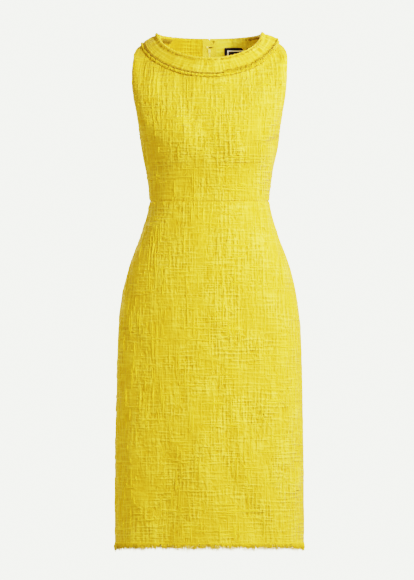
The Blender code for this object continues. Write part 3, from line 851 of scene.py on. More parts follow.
@dataclass(frozen=True)
class WovenLabel:
    """Satin-woven label cloth: a dark ground with a pale frame line, and no text."""

    name: str
    ground: Colour
    line: Colour
    size: tuple[float, float]
    inset: float = 0.0052
    width: float = 0.0030
    blur: float = 0.0002
    warp: float = 0.0005
    weft: float = 0.0004

    def make(self) -> Material:
        """Builds the material.

        Returns:
            The material.
        """
        material, pen, shader = blank(self.name)
        u, v, _ = pen.split(pen.out("ShaderNodeUVMap", uv_map="UVMap"))
        edge_u = pen.math("MINIMUM", u, self.size[0] - u)
        edge_v = pen.math("MINIMUM", v, self.size[1] - v)
        inside = pen.math("MINIMUM", edge_u, edge_v)
        rises, falls = (inside.spread(side - self.blur, side + self.blur)
                        for side in (self.inset, self.inset + self.width))
        threads, picks = (pen.math("SINE", place * (2.0 * math.pi / pitch)) * 0.5 + 0.5
                          for place, pitch in ((u, self.warp), (v, self.weft)))
        satin = threads * 0.6 + picks * 0.4
        frame_line = (rises - falls).clamp()
        base = pen.blend(frame_line, self.ground, self.line)
        dim = pen.blend(frame_line, tuple(part * 0.7 for part in self.ground),
                        tuple(part * 0.85 for part in self.line))
        pen.feed(shader.inputs["Base Color"], pen.blend(satin, dim, base))
        pen.bump(shader, satin * 0.5 + frame_line, 0.0001)
        set_inputs(shader, {"Roughness": 0.5, "Sheen Weight": 0.05})
        return material


TWEED = Tweed("slub_tweed", gap=(0.64, 0.35, 0.004), crest=(0.90, 0.60, 0.056))
# Inside of the cloth, darker on the left and lighter on the right: painted shade and painted light on
# one cloth.
PAINTED_LIGHT_INSIDE_TWEED = {
    -1.0: Tweed("inside_tweed_painted_shade_left", gap=(0.60, 0.33, 0.005), crest=(0.82, 0.51, 0.026),
                relief=0.5),
    1.0: Tweed("inside_tweed_painted_light_right", gap=(0.86, 0.64, 0.05), crest=(0.97, 0.80, 0.14), relief=0.5),
}
BAND_TWEED = Tweed("band_tweed", gap=(0.64, 0.35, 0.004), crest=(0.90, 0.60, 0.056),
                   pitch=0.0017, relief=0.6)
SLUB = Yarn("slub_yarn", dark=(0.80, 0.49, 0.015), light=(0.92, 0.63, 0.050), bump=0.0012)
FRAY = Yarn("frayed_yarn", dark=(0.76, 0.45, 0.010), light=(0.93, 0.65, 0.060))
# Dark brown yarn as painted shade: the dark lines, gaps and hollows of the frayed edges.
PAINTED_SHADE_YARN = Yarn("painted_shade_yarn", dark=(0.30, 0.17, 0.006), light=(0.48, 0.30, 0.014))
THREAD = Yarn("sewing_thread", dark=(0.66, 0.42, 0.02), light=(0.88, 0.64, 0.08), bump=0.0001)
LABEL_THREAD = Yarn("label_thread", dark=(0.015, 0.02, 0.04), light=(0.03, 0.04, 0.08), bump=0.0001)
TAPE = Herringbone("zip_tape_twill", dark=(0.78, 0.50, 0.03), light=(0.94, 0.70, 0.10))
TEETH = Enamel("zip_teeth", paint=(0.96, 0.80, 0.22), worn=(0.95, 0.84, 0.40), roughness=0.4)
ZIP_PAINT = Enamel("zip_enamel", paint=(0.95, 0.78, 0.22), worn=(0.82, 0.74, 0.46))
HOOK_LACQUER = Enamel("hook_lacquer", paint=(0.10, 0.065, 0.008), worn=(0.42, 0.33, 0.12))


# ---------- meshes


def place_object(name: str, data: bpy.types.ID) -> Object:
    """Puts a mesh, a camera or a lamp into the scene, at the origin."""
    holder = bpy.data.objects.new(name, data)
    bpy.context.scene.collection.objects.link(holder)
    return holder


def link_piece(name: str, mesh: Mesh, material: Material | None,
               slot: Slot, body: str = "dress") -> Object:
    """Puts a finished mesh into the scene as a piece of the dress.

    Args:
        name: the piece's name.
        mesh: its mesh, already in place.
        material: its material, or None where the mesh has one.
        slot: not used.
        body: the body that it rides on.

    Returns:
        The new object, at the origin.
    """
    if material is not None:
        mesh.materials.clear()
        mesh.materials.append(material)
    mesh.name = name
    piece = place_object(name, mesh)
    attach(piece, body)
    return piece


def set_uv(mesh: Mesh, uv: Array) -> None:
    """Gives a mesh a UV map.

    Args:
        mesh: the mesh.
        uv: the place on the flat cloth of each vertex, in metres.
    """
    layer = mesh.uv_layers.new(name="UVMap")
    corners = np.empty(len(mesh.loops), np.int32)
    mesh.loops.foreach_get("vertex_index", corners)
    layer.uv.foreach_set("vector", uv[corners].astype(np.float32).ravel())


def grid_faces(rows: int, columns: int) -> Array:
    """Returns the quads of a grid of rows by columns of vertices."""
    index = np.arange(rows * columns).reshape(rows, columns)
    return np.stack((index[:-1, :-1], index[:-1, 1:], index[1:, 1:], index[1:, :-1]),
                    axis=-1).reshape(-1, 4)


def faces_out(points: Array, faces: Array, turns: Array) -> Array:
    """Turns the quads of a sheet over if they face in.

    Args:
        points: its points.
        faces: its quads.
        turns: outward direction at each point.

    Returns:
        The quads, facing out.
    """
    middle = len(faces) // 2
    a, b, _, d = (points[i] for i in faces[middle])
    if np.dot(np.cross(b - a, d - a), turns[faces[middle][0]]) < 0.0:
        return faces[:, ::-1]
    return faces


def make_mesh(name: str, points: Array, faces: Sequence, uv: Array | None = None,
              sharp: float = 50.0) -> Mesh:
    """Makes a smooth mesh.

    Args:
        name: name of the mesh.
        points: its points.
        faces: point numbers of each face.
        uv: places on the flat cloth, if it has a UV map.
        sharp: angle in degrees past which an edge is sharp.

    Returns:
        The mesh.
    """
    mesh = bpy.data.meshes.new(name)
    mesh.from_pydata(points.tolist(), [], [list(map(int, face)) for face in faces])
    mesh.shade_smooth()
    mesh.set_sharp_from_angle(angle=math.radians(sharp))
    if uv is not None:
        set_uv(mesh, uv)
    return mesh


def shell_mesh(name: str, upper: Array, lower: Array, uv: Array, turns: Array) -> Mesh:
    """Makes a closed thin shell between two grids of points.

    Args:
        name: name of the mesh.
        upper: outer points in rows and columns.
        lower: inner points in the same rows and columns.
        uv: places on the cloth in metres.
        turns: outward directions.

    Returns:
        The mesh, with its faces pointing out.
    """
    rows, columns = upper.shape[:2]
    count = rows * columns
    outer = faces_out(upper.reshape(-1, 3), grid_faces(rows, columns), turns.reshape(-1, 3))
    inner = outer[:, ::-1] + count
    edges = np.concatenate([outer[:, [i, (i + 1) % 4]] for i in range(4)])
    keys = set(map(tuple, edges.tolist()))
    rim = np.array([edge for edge in edges.tolist() if (edge[1], edge[0]) not in keys])
    wall = np.stack((rim[:, 1], rim[:, 0], rim[:, 0] + count, rim[:, 1] + count), axis=-1)
    points = np.concatenate((upper.reshape(-1, 3), lower.reshape(-1, 3)))
    places = np.concatenate((uv.reshape(-1, 2), uv.reshape(-1, 2)))
    return make_mesh(name, points, np.concatenate((outer, inner, wall)), places)


def line_mesh(name: str, points: Array) -> Mesh:
    """Makes a mesh of edges alone, along a line of points."""
    mesh = bpy.data.meshes.new(name)
    mesh.from_pydata(points.tolist(), [(i, i + 1) for i in range(len(points) - 1)], [])
    return mesh


def run_tree(name: str, base: Mesh, tree: NodeTree,
             settings: dict[str, object]) -> Mesh:
    """Runs a Geometry Nodes tree on a mesh and returns the result as a plain mesh.

    Args:
        name: name of the resulting mesh.
        base: mesh that the tree starts from.
        tree: the Geometry Nodes tree.
        settings: values for its named inputs.

    Returns:
        The evaluated mesh, with no modifier left.
    """
    holder = place_object(name + "_base", base)
    modifier = holder.modifiers.new("Tree", "NODES")
    modifier.node_group = tree
    for item in tree.interface.items_tree:
        if item.item_type == "SOCKET" and item.in_out == "INPUT" and item.name in settings:
            modifier[item.identifier] = settings[item.name]
    graph = bpy.context.evaluated_depsgraph_get()
    graph.update()
    mesh = bpy.data.meshes.new_from_object(holder.evaluated_get(graph), depsgraph=graph)
    holder.modifiers.clear()
    bpy.data.objects.remove(holder, do_unlink=True)
    mesh.name = name
    return mesh


# ---------- cloth panels


@dataclass
class Panel:
    """One cut piece of the dress: its outer face as a fine grid, and what is worked into it."""

    name: str
    shape: Shape
    start: float
    end: float
    column_step: float = 0.0052
    row_step: float = 0.0050
    roll_depth: float = 0.0007
    roll_width: float = 0.0030
    dart_depth: float = 0.0011
    dart_half: float = 0.0022
    eased_levels: tuple[float, ...] = (12.6, 13.3, 14.4, 14.9)
    eased_sides: tuple[float, ...] = (0.45, 0.65, 0.94, 1.0)
    eased_rounds: int = 30
    ripple_height: float = 0.00016
    ripple_calm: float = 0.016
    levels: Array = field(init=False)
    across: Array = field(init=False)
    points: Array = field(init=False)
    turns: Array = field(init=False)
    uv: Array = field(init=False)

    def __post_init__(self) -> None:
        """Works out the grid."""
        self.across = self.column_places()
        self.levels = self.row_places()
        base = self.shape.points(self.across, self.levels)
        self.turns = self.shape.outward(self.across, self.levels, base)
        if not self.shape.skirt:
            base = self.eased(base)
            self.turns = unit(self.eased(self.turns))
        lifted = base + self.turns * self.shape.relief(base[..., 0], base[..., 2])[..., None]
        self.uv = self.cloth_places(lifted)
        dip = self.edge_roll() + self.dart_grooves(lifted) - self.ripples()
        self.points = lifted - self.turns * dip[..., None]

    @property
    def suffix(self) -> str:
        """The end of its name: front, back_left or back_right."""
        return self.name.split("_", 1)[1]

    def eased(self, grid: Array) -> Array:
        """Rounds off the form's sharp turn at the shoulder point, short of the armhole's edge.

        Args:
            grid: points or directions in rows and columns.

        Returns:
            The same grid, smoothed from row to row there.
        """
        share = 1.0
        for places, (start, full, still, end) in ((self.levels[:, None], self.eased_levels),
                                                  (np.abs(self.across), self.eased_sides)):
            share = share * smooth_step(start, full, places) * smooth_step(end, still, places)
        result = grid.copy()
        for _ in range(self.eased_rounds):
            middle = (result[:-2] + result[2:]) / 2.0
            result[1:-1] += 0.5 * share[1:-1, :, None] * (middle - result[1:-1])
        return result

    def column_places(self) -> Array:
        """Spreads the columns evenly along the widest part of the panel.

        Returns:
            Places along each section.
        """
        dense = np.linspace(self.start, self.end, 600)
        middle = np.array([self.shape.last * (0.55 if self.shape.skirt else 0.3)])
        line = self.shape.points(dense, middle)
        along = arc_lengths(line, 1)[0]
        wanted = stations(along[-1], self.column_step, True, True)
        return np.interp(wanted, along, dense)

    def row_places(self) -> Array:
        """Spreads the rows evenly from end to end, and keeps the band's lower edge as one.

        Returns:
            Fractional numbers of sections.
        """
        dense = np.linspace(0.0, self.shape.last, 900)
        beside = np.array([math.copysign(0.5, self.start + self.end - 1e-9)])
        along = arc_lengths(self.shape.points(beside, dense), 0)[:, 0]
        wanted = stations(along[-1], self.row_step, True, self.shape.skirt)
        levels = np.interp(wanted, along, dense)
        if not self.shape.skirt:
            kept = levels[np.abs(levels - BAND_EDGE) > 0.12]
            levels = np.sort(np.append(kept, BAND_EDGE))
        return levels

    def cloth_places(self, points: Array) -> Array:
        """Finds each point's place on the flat cloth.

        Args:
            points: points of the face.

        Returns:
            U along the rows from the centre and V by the height, in metres, so that the weft
            stays level as it does in the sewn dress.
        """
        along = arc_lengths(points[..., :2], 1)
        nearest = int(np.argmin(np.abs(self.across)))
        u = along - along[:, nearest:nearest + 1]
        heights = points[:, nearest, 2]
        profile = arc_lengths(points[:, nearest:nearest + 1], 0)[:, 0]
        order = np.argsort(heights)
        sign = -1.0 if self.shape.skirt else 1.0
        v = sign * np.interp(points[..., 2], heights[order], profile[order])
        beyond = points[..., 2] - heights.max()
        return np.stack((u, v + np.maximum(beyond, 0.0) * 1.25), axis=-1)

    def edge_distances(self) -> tuple[Array, Array]:
        """Returns the distances to the panel's upright edges and to its waist seam."""
        u, v = self.uv[..., 0], self.uv[..., 1]
        return np.minimum(u - u[:, :1], u[:, -1:] - u), np.abs(v - v[:1])

    def edge_roll(self) -> Array:
        """Finds how far the cloth rolls in along its seams and its turned edges.

        Returns:
            Depths in metres. The bodice also stands up a little beside its deeper waist seam.
        """
        upright, waist = self.edge_distances()
        depth = hill(upright, 0.0, self.roll_width)
        if self.shape.skirt:
            depth = np.maximum(depth, 0.9 * hill(waist, 0.0, 0.0020))
        else:
            depth *= 1.0 - smooth_step(BAND_EDGE - 0.3, BAND_EDGE, self.levels)[:, None]
            depth = np.maximum(depth, 1.7 * hill(waist, 0.0, 0.0022))
            depth -= 0.9 * hill(waist, 0.0048, 0.0022)
        return self.roll_depth * depth

    def dart_grooves(self, points: Array) -> Array:
        """Finds the grooves of the sewn darts.

        Args:
            points: points of the face.

        Returns:
            Depths in metres, fading towards each dart's point.
        """
        total = np.zeros(points.shape[:2])
        flat = points.reshape(-1, 3)
        for dart in DARTS.get(self.name, ()):
            ends = []
            for x, z in ((dart.seam_x, dart.seam_z), (dart.point_x, dart.point_z)):
                away = np.hypot(flat[:, 0] - x * MM, flat[:, 2] - z * MM)
                ends.append(self.uv.reshape(-1, 2)[np.argmin(away)])
            along = ends[1] - ends[0]
            length = np.linalg.norm(along)
            offset = self.uv - ends[0]
            part = (offset @ along) / length ** 2
            side = np.abs(offset[..., 0] * along[1] - offset[..., 1] * along[0]) / length
            fade = np.clip(1.08 - part, 0.0, 1.0) ** 0.6 * (part > -0.08)
            total += self.dart_depth * fade * hill(side, 0.0, self.dart_half)
        return total

    def ripples(self) -> Array:
        """Makes the slight unevenness of soft cloth, with a seed from the panel's name.

        Returns:
            Heights in metres, 0 along the seams.
        """
        chance = np.random.default_rng(sum(map(ord, self.name)))
        total = np.zeros(self.uv.shape[:2])
        for _ in range(26):
            wave_u, wave_v = chance.uniform(0.035, 0.11), chance.uniform(0.07, 0.30)
            phase = chance.uniform(0.0, 2.0 * math.pi)
            lean = chance.choice((-1.0, 1.0))
            total += np.cos(2.0 * math.pi * (self.uv[..., 0] / wave_u
                                             + lean * self.uv[..., 1] / wave_v) + phase)
        calm = hill(np.minimum(*self.edge_distances()), 0.0, self.ripple_calm)
        return self.ripple_height * total * (1.0 - calm)

    def cloth(self, material: Material, inside: Material) -> Object:
        """Makes the cloth as a closed thin shell in place of the panel's solid.

        Args:
            material: the material of its face and edges.
            inside: the material of its back.

        Returns:
            The cloth.
        """
        lower = self.points - self.turns * CLOTH
        mesh = shell_mesh(self.name + "_cloth", self.points, lower, self.uv, self.turns)
        piece = link_piece(self.name + "_cloth", mesh, material, Slot.TWEED)
        mesh.materials.append(inside)
        face = (self.points.shape[0] - 1) * (self.points.shape[1] - 1)
        sides = np.zeros(len(mesh.polygons), np.int32)
        sides[face:2 * face] = 1
        mesh.polygons.foreach_set("material_index", sides)
        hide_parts(self.name)
        return piece

    def surface(self) -> Mesh:
        """Makes the outer face alone, for yarns to lie on."""
        points = self.points.reshape(-1, 3)
        faces = faces_out(points, grid_faces(*self.points.shape[:2]), self.turns.reshape(-1, 3))
        return make_mesh(self.name + "_face", points, faces, self.uv.reshape(-1, 2), 180.0)

    def area(self) -> float:
        """Measures the outer face, as two triangles for each cell of its grid.

        Returns:
            Its area in square metres.
        """
        start, beside = self.points[:-1, :-1], self.points[:-1, 1:]
        above, across = self.points[1:, :-1], self.points[1:, 1:]
        halves = (np.cross(beside - start, above - start),
                  np.cross(across - beside, across - above))
        return 0.5 * sum(float(np.linalg.norm(half, axis=-1).sum()) for half in halves)


# ---------- slub yarns


@dataclass
class SlubYarns:
    """Thick stretches of yarn that stand out of the weave, upright and level."""

    seed: int = 11
    upright_share: float = 0.62
    per_square_metre: float = 2900.0
    tree: NodeTree = field(init=False)

    def __post_init__(self) -> None:
        """Builds the Geometry Nodes tree."""
        self.tree = geometry_tree("slub_yarns", {
            "Upright Count": 100, "Level Count": 60, "Low Corner": (0.0, 0.0, 0.0),
            "High Corner": (0.1, 0.1, 0.0), "Shortest": 0.007, "Longest": 0.062,
            "Width": 0.0031, "Rise": 0.0026, "Seed": 1, "Yarn": None}, "Yarn", self.draw)

    def draw(self, pen: Pen) -> Value:
        """Draws both directions of yarns on the cloth.

        Args:
            pen: the tree being drawn.

        Returns:
            The yarns.
        """
        upright = self.strands(pen, "Upright Count", math.pi / 2.0, 0)
        level = self.strands(pen, "Level Count", 0.0, 50)
        both = pen.add("GeometryNodeJoinGeometry")
        pen.feed(both.inputs[0], level)
        pen.feed(both.inputs[0], upright)
        return self.lay_on_cloth(pen, both.outputs[0])

    def strands(self, pen: Pen, count: str, turn: float, shift: int) -> Value:
        """Draws one direction of yarns, flat in the plane of the cloth's places.

        Args:
            pen: the tree being drawn.
            count: name of the input that says how many.
            turn: their direction, in radians.
            shift: added to the seed.

        Returns:
            The yarns as realized meshes.
        """
        seed = pen.given("Seed") + float(shift)
        spots = pen.geo("Points", {
            "Count": pen.given(count),
            "Position": pen.random(pen.given("Low Corner"), pen.given("High Corner"), seed)})
        place = pen.geo("InputPosition")
        patch = pen.noise(pen.scale(place, 17.0), detail=1.0)
        empty = pen.out("FunctionNodeCompare", {
            "A": patch, "B": pen.random(0.30, 0.52, seed + 1.0)}, operation="LESS_THAN")
        kept = pen.geo("DeleteGeometry", {"Geometry": spots, "Selection": empty})
        tube = pen.geo("MeshCylinder", {
            "Vertices": 6, "Side Segments": 9, "Radius": 0.5, "Depth": 1.0}, fill_type="NGON")
        x, y, z = pen.split(pen.geo("InputPosition"))
        taper = pen.math("SQRT", (1.0 - z * z * 3.6).clamp())
        spindle = pen.geo("SetPosition", {
            "Geometry": tube, "Position": pen.join(z, x * taper, y * taper)})
        chance = pen.random(0.0, 1.0, seed + 2.0)
        shortest, longest = pen.given("Shortest"), pen.given("Longest")
        length = shortest + (longest - shortest) * (chance ** 2.2)
        width = pen.given("Width") * pen.random(0.6, 1.25, seed + 3.0)
        rise = pen.given("Rise") * pen.random(0.7, 1.25, seed + 4.0)
        placed = pen.geo("InstanceOnPoints", {
            "Points": kept, "Instance": spindle, "Rotation": (0.0, 0.0, turn),
            "Scale": pen.join(length, width, rise)})
        return pen.geo("RealizeInstances", {"Geometry": placed})

    def lay_on_cloth(self, pen: Pen, yarns: object) -> Value:
        """Draws the step that lays the flat yarns on the cloth's outer face.

        Args:
            pen: the tree being drawn.
            yarns: the flat yarns.

        Returns:
            The yarns in place, less those that miss the cloth.
        """
        place = pen.geo("InputPosition")
        u, v, height = pen.split(place)
        wobble = pen.noise(pen.scale(place, 55.0), detail=1.0, output="Color")
        shift = pen.scale(pen.vector("SUBTRACT", wobble, (0.5, 0.5, 0.5)), 0.0042)
        lump = pen.noise(pen.scale(place, 150.0), detail=1.0).spread(0.25, 0.75, 0.45, 1.45)
        target = pen.vector("ADD", pen.join(u, v, 0.0), shift)
        stored = pen.store(yarns, "UVMap", target, "FLOAT2", "CORNER")
        map_of_cloth = pen.named("UVMap")
        point, normal = (pen.add("GeometryNodeSampleUVSurface", {
            "Mesh": pen.given("Geometry"), "Value": pen.out(kind), "UV Map": map_of_cloth,
            "Sample UV": target}, data_type="FLOAT_VECTOR").outputs
            for kind in ("GeometryNodeInputPosition", "GeometryNodeInputNormal"))
        right, _, _ = pen.split(point["Value"])
        lump = lump * right.spread(0.05, 0.14, 1.0, 0.5)
        turn = pen.vector("NORMALIZE", normal["Value"])
        raised = pen.vector("ADD", point["Value"], pen.scale(turn, height * lump))
        off = pen.math("SUBTRACT", 1.0, point["Is Valid"])
        marked = pen.store(stored, "off_cloth", off, "FLOAT", "POINT")
        laid = pen.geo("SetPosition", {"Geometry": marked, "Position": raised})
        missing = pen.out("FunctionNodeCompare", {
            "A": pen.named("off_cloth", "FLOAT"), "B": 0.5}, operation="GREATER_THAN")
        return pen.geo("DeleteGeometry", {"Geometry": laid, "Selection": missing})

    def lay(self, panel: Panel, material: Material, number: int) -> Object:
        """Lays slub yarns on one panel.

        Args:
            panel: the panel that they lie on.
            material: their material.
            number: varies them from panel to panel.

        Returns:
            The yarns as one piece.
        """
        low, high = panel.uv.min(axis=(0, 1)), panel.uv.max(axis=(0, 1))
        count = self.per_square_metre * float(np.prod(high - low))
        mesh = run_tree(panel.name + "_slubs", panel.surface(), self.tree, {
            "Upright Count": int(count * self.upright_share),
            "Level Count": int(count * (1.0 - self.upright_share)),
            "Low Corner": (*low.tolist(), 0.0), "High Corner": (*high.tolist(), 0.0),
            "Seed": self.seed + 100 * number, "Yarn": material})
        return link_piece(panel.name + "_slubs", mesh, None, Slot.TWEED)


# ---------- frayed edges


@dataclass
class Rail:
    """A line of roots, with the direction out of the cloth and away from its edge."""

    points: Array
    out: Array
    away: Array
    size: Array | float = 1.0

    def length(self) -> float:
        """Returns its length in metres."""
        return float(np.linalg.norm(np.diff(self.points, axis=0), axis=1).sum())

    def mesh(self, name: str) -> Mesh:
        """Makes it a line of edges that carries both directions.

        Args:
            name: name of the mesh.

        Returns:
            The mesh.
        """
        mesh = line_mesh(name, self.points)
        for label, values in (("out", self.out), ("away", self.away)):
            layer = mesh.attributes.new(label, "FLOAT_VECTOR", "POINT")
            layer.data.foreach_set("vector", np.asarray(values, np.float32).ravel())
        return mesh


@dataclass(frozen=True)
class LooseEnds:
    """How loose yarn ends stand along an edge, in metres."""

    density: int              # ends in a metre of edge
    length: float
    radius: float
    rise: float               # height of the hump on the way
    curl: float               # height of the tip
    sway: float               # lean along the edge
    tuft: float               # tufts in a metre, about
    depth: float = 0.0004     # how far the deepest roots sink in

    def count(self, rail: Rail) -> int:
        """Returns how many ends a rail takes."""
        return int(rail.length() * self.density)


@dataclass
class FrayedEdge:
    """Loose yarn ends along an edge, in uneven tufts."""

    tree: NodeTree = field(init=False)

    def __post_init__(self) -> None:
        """Builds the Geometry Nodes tree."""
        self.tree = geometry_tree("frayed_edge", {
            "Strands": 400, "Length": 0.01, "Radius": 0.0004, "Rise": 0.001, "Curl": 0.001,
            "Sway": 0.003, "Tuft": 160.0, "Depth": 0.001, "Seed": 1, "Yarn": None}, "Yarn",
            self.draw)

    def draw(self, pen: Pen) -> Value:
        """Draws the loose ends, each a tapered tube from its root on the rail.

        Args:
            pen: the tree being drawn.

        Returns:
            The ends as meshes.
        """
        rail = pen.geo("MeshToCurve", {"Mesh": pen.given("Geometry")})
        points = pen.add("GeometryNodeCurveToPoints", {
            "Curve": rail, "Count": pen.given("Strands")}, mode="COUNT")
        seed = pen.given("Seed")
        along = Value(pen, points.outputs["Tangent"])
        roots = pen.store(points.outputs["Points"], "along", along)
        for name, low, shift in (("pick", 0.0, 0.0), ("side_pick", -1.0, 1.0),
                                 ("depth_pick", 0.0, 2.0)):
            roots = pen.store(roots, name, pen.random(low, 1.0, seed + shift), "FLOAT")
        roots = pen.store(roots, "root", pen.geo("InputPosition"))
        line = pen.geo("ResampleCurve", {
            "Curve": pen.geo("CurvePrimitiveLine", {"End": (0.0, 0.0, 1.0)}), "Count": 6})
        line = pen.store(line, "part", pen.geo("SplineParameter"), "FLOAT")
        strands = pen.geo("RealizeInstances", {
            "Geometry": pen.geo("InstanceOnPoints", {"Points": roots, "Instance": line})})
        bent = self.bend(pen, strands)
        part = pen.named("part", "FLOAT")
        sized = pen.geo("SetCurveRadius", {
            "Curve": bent, "Radius": pen.given("Radius") * (1.0 - part * part * 0.62)
            * (pen.named("side_pick", "FLOAT") * 0.3 + 1.0)})
        return pen.geo("CurveToMesh", {
            "Curve": sized, "Fill Caps": True,
            "Profile Curve": pen.geo("CurvePrimitiveCircle", {"Resolution": 3, "Radius": 1.0}),
            "Scale": pen.geo("InputRadius")})

    def bend(self, pen: Pen, strands: Value) -> Value:
        """Draws the step that gives each strand its own length, lean and curl.

        Args:
            pen: the tree being drawn.
            strands: straight lines, one at each root.

        Returns:
            The bent lines.
        """
        root, part = pen.named("root"), pen.named("part", "FLOAT")
        pick, side, deep = (pen.named(name, "FLOAT") for name in ("pick", "side_pick", "depth_pick"))
        tuft = pen.noise(pen.scale(root, pen.given("Tuft")), detail=1.0)
        gather = pen.noise(pen.scale(root, pen.given("Tuft") * 0.8 + 9.0), detail=1.0) - 0.5
        length = pen.given("Length") * ((tuft * 0.9 + 0.30).clamp() * 0.7 + pick * 0.34)
        spot = pen.vector("ADD", pen.scale(root, 310.0), pen.join(part * 2.2, pick * 9.0, side))
        kink = pen.noise(spot, output="Color")
        kink = pen.scale(pen.vector("SUBTRACT", kink, (0.5, 0.5, 0.5)),
                         pen.given("Length") * part * 0.55)
        reach = pen.scale(pen.named("away"), length * part)
        hump = pen.math("SINE", part * math.pi) * pen.given("Rise")
        curl = part * part * pen.given("Curl") * (side * 0.6 + 0.7)
        sink = deep * pen.given("Depth")
        lift = pen.scale(pen.named("out"), hump + curl - sink)
        lean = (gather * 1.8 + side * 0.35) * pen.given("Sway") * part
        slide = pen.scale(pen.named("along"), lean)
        place = pen.vector("ADD", pen.vector("ADD", root, reach),
                           pen.vector("ADD", lift, pen.vector("ADD", slide, kink)))
        return pen.geo("SetPosition", {"Geometry": strands, "Position": place})

    def fray(self, name: str, rail: Rail, material: Material, ends: LooseEnds,
             seed: int, replaced: str | None = None, count: int | None = None) -> None:
        """Frays one edge.

        Args:
            name: name of the piece.
            rail: the line of roots.
            material: the yarn's material.
            ends: sizes of the loose ends.
            seed: varies them.
            replaced: the node that the fringe stands for, if any.
            count: how many ends, where it doesn't follow from the rail.
        """
        settings = {label: getattr(ends, label.lower()) for label in (
            "Length", "Radius", "Rise", "Curl", "Sway", "Tuft", "Depth")}
        settings |= {"Strands": ends.count(rail) if count is None else count, "Seed": seed,
                     "Yarn": material}
        mesh = run_tree(name, rail.mesh(name + "_rail"), self.tree, settings)
        piece = link_piece(name, mesh, None, Slot.YARN)
        if replaced is not None:
            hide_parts(replaced)


@dataclass(frozen=True)
class PliedEdge:
    """Two plies of yarn twisted into a lumpy cord along an edge."""

    radius: float
    pitch: float = 0.0105
    lump: float = 0.36
    swell: float = 0.15
    sides: int = 10
    step: float = 0.0011
    wander: float = 0.16      # to the side, as a share of the radius
    jitter: float = 1.2       # of the twist, in radians

    def make(self, name: str, rail: Rail, material: Material,
             seed: int) -> Object:
        """Makes the cord along a rail.

        Args:
            name: name of the piece.
            rail: its middle line.
            material: the yarn's material.
            seed: varies its lumps.

        Returns:
            The cord, closed at both ends.
        """
        along = arc_lengths(rail.points, 0)
        place = np.linspace(0.0, along[-1], int(along[-1] / self.step))
        centre, out = (np.stack([np.interp(place, along, values[:, i]) for i in range(3)], -1)
                       for values in (rail.points, rail.out))
        tangent = unit(np.gradient(centre, axis=0))
        side = unit(np.cross(tangent, out))
        out = np.cross(side, tangent)
        centre = centre + side * (self.wander * self.radius * soft_wave(place, 0.011, seed + 2))[:, None]
        angle = np.arange(self.sides) * 2.0 * math.pi / self.sides
        twist = 2.0 * math.pi * place / self.pitch + self.jitter * soft_wave(place, 0.02, seed)
        ply = np.abs(np.cos(angle[None, :] - twist[:, None]))
        ends = np.sqrt(np.clip(np.minimum(place, place[::-1]) / self.radius, 0.02, 1.0))
        radius = self.radius * ends * (1.0 + self.swell * soft_wave(place, 0.009, seed + 1))
        radius *= np.interp(place, along, np.broadcast_to(rail.size, along.shape))
        reach = (radius[:, None] * (1.0 - self.lump * (1.0 - ply)))[..., None]
        ring = (np.cos(angle)[:, None] * out[:, None] + np.sin(angle)[:, None] * side[:, None])
        points = (centre[:, None] + reach * ring).reshape(-1, 3)
        start = np.arange(len(place) - 1)[:, None] * self.sides + np.arange(self.sides)
        beside = np.roll(start, -1, axis=1)
        faces = np.stack((start, beside, beside + self.sides, start + self.sides), -1)
        caps = [tuple(range(self.sides))[::-1],
                tuple(range(len(points) - self.sides, len(points)))]
        mesh = make_mesh(name, points, [*faces.reshape(-1, 4), *caps], sharp=80.0)
        return link_piece(name, mesh, material, Slot.YARN)


# ---------- assemblies


@dataclass
class Dress:
    """The sewn cloth: six panels with their slub yarns."""

    panels: dict[str, Panel] = field(default_factory=dict)

    def cut(self) -> None:
        """Works out the six panels."""
        halves = (("front", Facing.FRONT, -1.0, 1.0), ("back_left", Facing.BACK, -1.0, -1e-6),
                  ("back_right", Facing.BACK, 1e-6, 1.0))
        for skirt, part in ((False, "bodice"), (True, "skirt")):
            for suffix, facing, start, end in halves:
                name = f"{part}_{suffix}"
                self.panels[name] = Panel(name, Shape(facing, skirt), start, end)

    def sew(self, tweed: Material, inside: dict[float, Material],
            yarn: Material) -> None:
        """Args:
            tweed: the material of the face.
            inside: the material of the back, by the side of the dress, darker on the left and lighter on
                the right as painted shade and painted light.
            yarn: the material of the slub yarns.
        """
        slubs = SlubYarns()
        for number, (name, panel) in enumerate(self.panels.items()):
            cloth = panel.cloth(tweed, inside[1.0 if panel.end > 0.0 else -1.0])
            yarns = slubs.lay(panel, yarn, number)
            size = np.ptp(panel.uv, axis=(0, 1))
            min(panel.area(), float(size[0] * size[1]))
            log.info("%s: %d and %d faces, %.3f square metres", name, len(cloth.data.polygons),
                     len(yarns.data.polygons), panel.area())


# Dark ends inside the back neck, as painted shade by the shoulders and the slot: from and to along the
# section, ends in a metre, and their length.
LEFT_SHADE = ((0.50, 1.0, 2800, 0.0150),)
RIGHT_SHADE = ((0.50, 1.0, 450, 0.0070), (0.03, 0.07, 2600, 0.0100))


